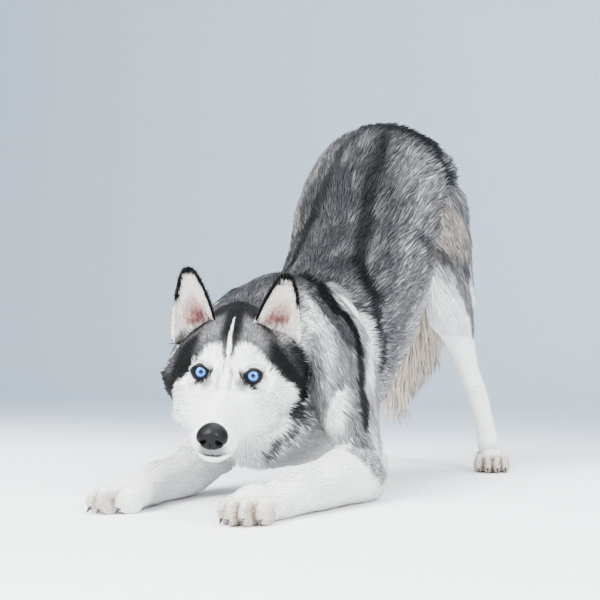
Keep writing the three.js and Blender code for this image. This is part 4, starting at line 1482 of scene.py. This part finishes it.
def buildCoat():
    # pieces under 200 thousand triangles, split along the body
    material = paintedMaterial(
        "guardHair", "strand", 1.0, 0.24, 0, {"Roughness": 0.7, "Specular IOR Level": 0.1})
    pieces = []
    full = np.concatenate(tuftRings, axis=1)
    isLong = tuftLength > tuft["long"]
    for rings, wanted, kept in ((3, isLong, range(10)), (2, ~isLong, (0, 1, 2, 3, 4, 5, 9))):
        order = np.flatnonzero(wanted)
        order = order[np.argsort(tuftRoot[order, 1], kind="stable")]
        perPiece = tuft["perPiece"] // len(tuftShape(rings))
        for start in range(0, len(order), perPiece):
            chosen = order[start:start + perPiece]
            points = full[chosen][:, list(kept)]
            pieces.append(coatPiece(f"coat_{len(pieces) + 1}", chosen, points, rings, material))
    return pieces


coat = buildCoat()
print("coat built,", sum(len(piece.data.polygons) for piece in coat), "triangles in", len(coat), "pieces")


# Eyes, with the cornea's bulge, and the rims round them

def makeEye(side, name):
    piece, co = addSphere(64, 48)
    piece.name = name
    polar = onSphere(co)[0]
    bulge = 0.05 * (1 - fade(polar * np.pi, math.radians(24), math.radians(44)))
    centre, gaze = eyeGaze(side)
    across = unit(np.cross(vec(0, 0, 1), gaze))
    axes = np.stack([across, np.cross(gaze, across), gaze])
    places = (co @ axes) * (eye["radius"] * (0.985 + bulge))[:, None] + centre
    writePlaces(piece, toFrame(fromHead(places)))
    # unrolled flat round the pupil, for the iris
    pattern = piece.data.uv_layers[0]
    pattern.name = "eyePattern"
    loops = readMany(piece.data.loops, "vertex_index", 1, int).ravel()
    flat = co[:, :2] / np.maximum(np.linalg.norm(co[:, :2], axis=1), 1e-6)[:, None]
    pattern.data.foreach_set("uv", (0.5 + flat * polar[:, None])[loops].ravel())
    dress(piece, eyeMaterial)
    return piece


rimShape = {"grow": 1.2, "minor": 0.25, "thick": 2.3, "high": 1.2, "over": 0.75}


def makeLids(side):
    # a soft dark rim that follows the opening
    centre, out, along, up = eyeFrame(side)
    deselectAll()
    bpy.ops.mesh.primitive_torus_add(
        major_segments=72, minor_segments=12, major_radius=1, minor_radius=rimShape["minor"])
    piece = bpy.context.object
    co = readPlaces(piece)
    phi = np.arctan2(co[:, 1], co[:, 0])
    ring = np.hypot(co[:, 0], co[:, 1]) - 1
    c, s = np.cos(phi), np.sin(phi)
    u, v = [rimShape["grow"] * half * np.sign(way) * np.abs(way) ** (2 / lid["power"])
            for half, way in ((lid["halfLength"], c), (lid["halfHeight"], s))]
    flat = np.column_stack([u, v]) / eye["radius"]
    deep = np.sqrt(np.clip(1 - np.sum(flat**2, axis=1), 0.02, 1))
    aim = unit(np.outer(flat[:, 0], along) + np.outer(flat[:, 1], up) + np.outer(deep, out))
    outward = unit(np.outer(c, along) + np.outer(s * 0.8, up))
    outward = unit(outward - aim * np.sum(outward * aim, axis=1)[:, None])
    places = centre + aim * (eye["radius"] + rimShape["over"])
    places = places + outward * (ring / rimShape["minor"] * rimShape["thick"])[:, None]
    places = places + aim * (co[:, 2] / rimShape["minor"] * rimShape["high"])[:, None]
    writePlaces(piece, toFrame(fromHead(places)))
    return piece


eyeMaterial = makeEyeMaterial()
eyes = [makeEye(1, "eyeLeft"), makeEye(-1, "eyeRight")]
rims = joinPieces("eyeRims", [makeLids(1), makeLids(-1)])
dress(rims, makeDarkMaterial(
    "rimSkin", tone(4, 4, 5), tone(12, 12, 13), 800, {"Roughness": 0.5, "Specular IOR Level": 0.15}))
print("eyes made")


# Nose leather

noseShape = {
    "rows": [
        (0, -120, -36, 7, 7, 7), (0, -117, -35, 13.5, 11, 10), (0, -110, -34, 17.8, 14.5, 13),
        (0, -102, -33, 17.5, 14.5, 13), (0, -92, -32, 14, 12, 10),
    ],
    "facing": vec(0, 1, 0), "inset": ((0, 1), (0, 0)), "pinch": (0.2, 0.1),
    "nostril": {"at": (9.2, -36), "radii": (4.4, 3.4), "depth": 7},
}


def makeNose():
    piece, co = addSphere(96, 72)
    piece.name = "noseLeather"
    polar, angle = onSphere(co)
    t = closerAtEnds(polar)
    p = onBody(noseShape, t, angle, roundEnds(t, 0.2))
    nostril = noseShape["nostril"]
    side = np.abs(p[:, 0])
    x, z = side - nostril["at"][0], p[:, 2] - nostril["at"][1]
    hole = np.sqrt((x / nostril["radii"][0]) ** 2 + ((z + x * 0.5) / nostril["radii"][1]) ** 2)
    front = p[:, 1] < -104
    p[:, 1] += nostril["depth"] * (1 - fade(hole, 0.35, 1.15)) * front
    slit = np.exp(-((z + 3.5 + 0.25 * x) / 1.3) ** 2) * fade(side, 9, 12) * (p[:, 1] < -98)
    p[:, 0] -= np.sign(p[:, 0]) * 2.4 * slit
    p[:, 1] += 1.5 * slit
    split = np.exp(-(p[:, 0] / 0.9) ** 2) * fade(-p[:, 2], 32, 37) * front
    p[:, 1] += 1.5 * split
    writePlaces(piece, toFrame(fromHead(p)))
    dress(piece, makeNoseMaterial())
    return piece


nose = makeNose()


# Claws

clawShape = {"thick": 3.6, "tip": 1.0}


def makeClaw(paw, toe):
    x, y, size = toe
    unitSize = pawSize(paw)
    reach = size * unitSize
    rows = []
    for v in (0, 0.3, 0.55, 0.8, 1):
        radius = (clawShape["thick"] + (clawShape["tip"] - clawShape["thick"]) * v) * reach
        place = (x * unitSize, y * unitSize - 9.5 * reach - 7.5 * (v - 0.25), 9 * reach - 7 * v * v)
        rows.append((*place, radius * 0.75, radius, radius))
    piece, co = addSphere(18, 16)
    polar, angle = onSphere(co)
    claw = {"rows": rows, "inset": ((0, 1), (0, 0))}
    places = pawPlaces(paw, onBody(claw, polar, angle, roundEnds(polar, 0.15)))
    places[:, 2] = np.maximum(places[:, 2], 0.3)
    writePlaces(piece, toFrame(places))
    return piece


claws = joinPieces("huskyClaws", [makeClaw(paw, toe) for paw in paws for toe in pawShape["toes"]])
dress(claws, makeDarkMaterial(
    "clawHorn", tone(22, 19, 18), tone(52, 46, 42), 400, {"Roughness": 0.4, "Coat Weight": 0.1}))
print("nose and claws made")
# What takes the place of what

clawNodes = [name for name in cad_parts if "_claw_" in name]
fleshNodes = [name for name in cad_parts
              if name not in clawNodes and name not in ("eye_left", "eye_right", "nose")]
for piece, slot, nodes in (
    (skin, "coat", fleshNodes), (rims, "coat", []), (eyes[0], "eye", ["eye_left"]),
    (eyes[1], "eye", ["eye_right"]), (nose, "nose_leather", ["nose"]), (claws, "claw", clawNodes),
    *[(piece, "coat", []) for piece in coat],
):
    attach(piece, "root")
    if nodes:
        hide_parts(*nodes)
addCamera()
addStudio()
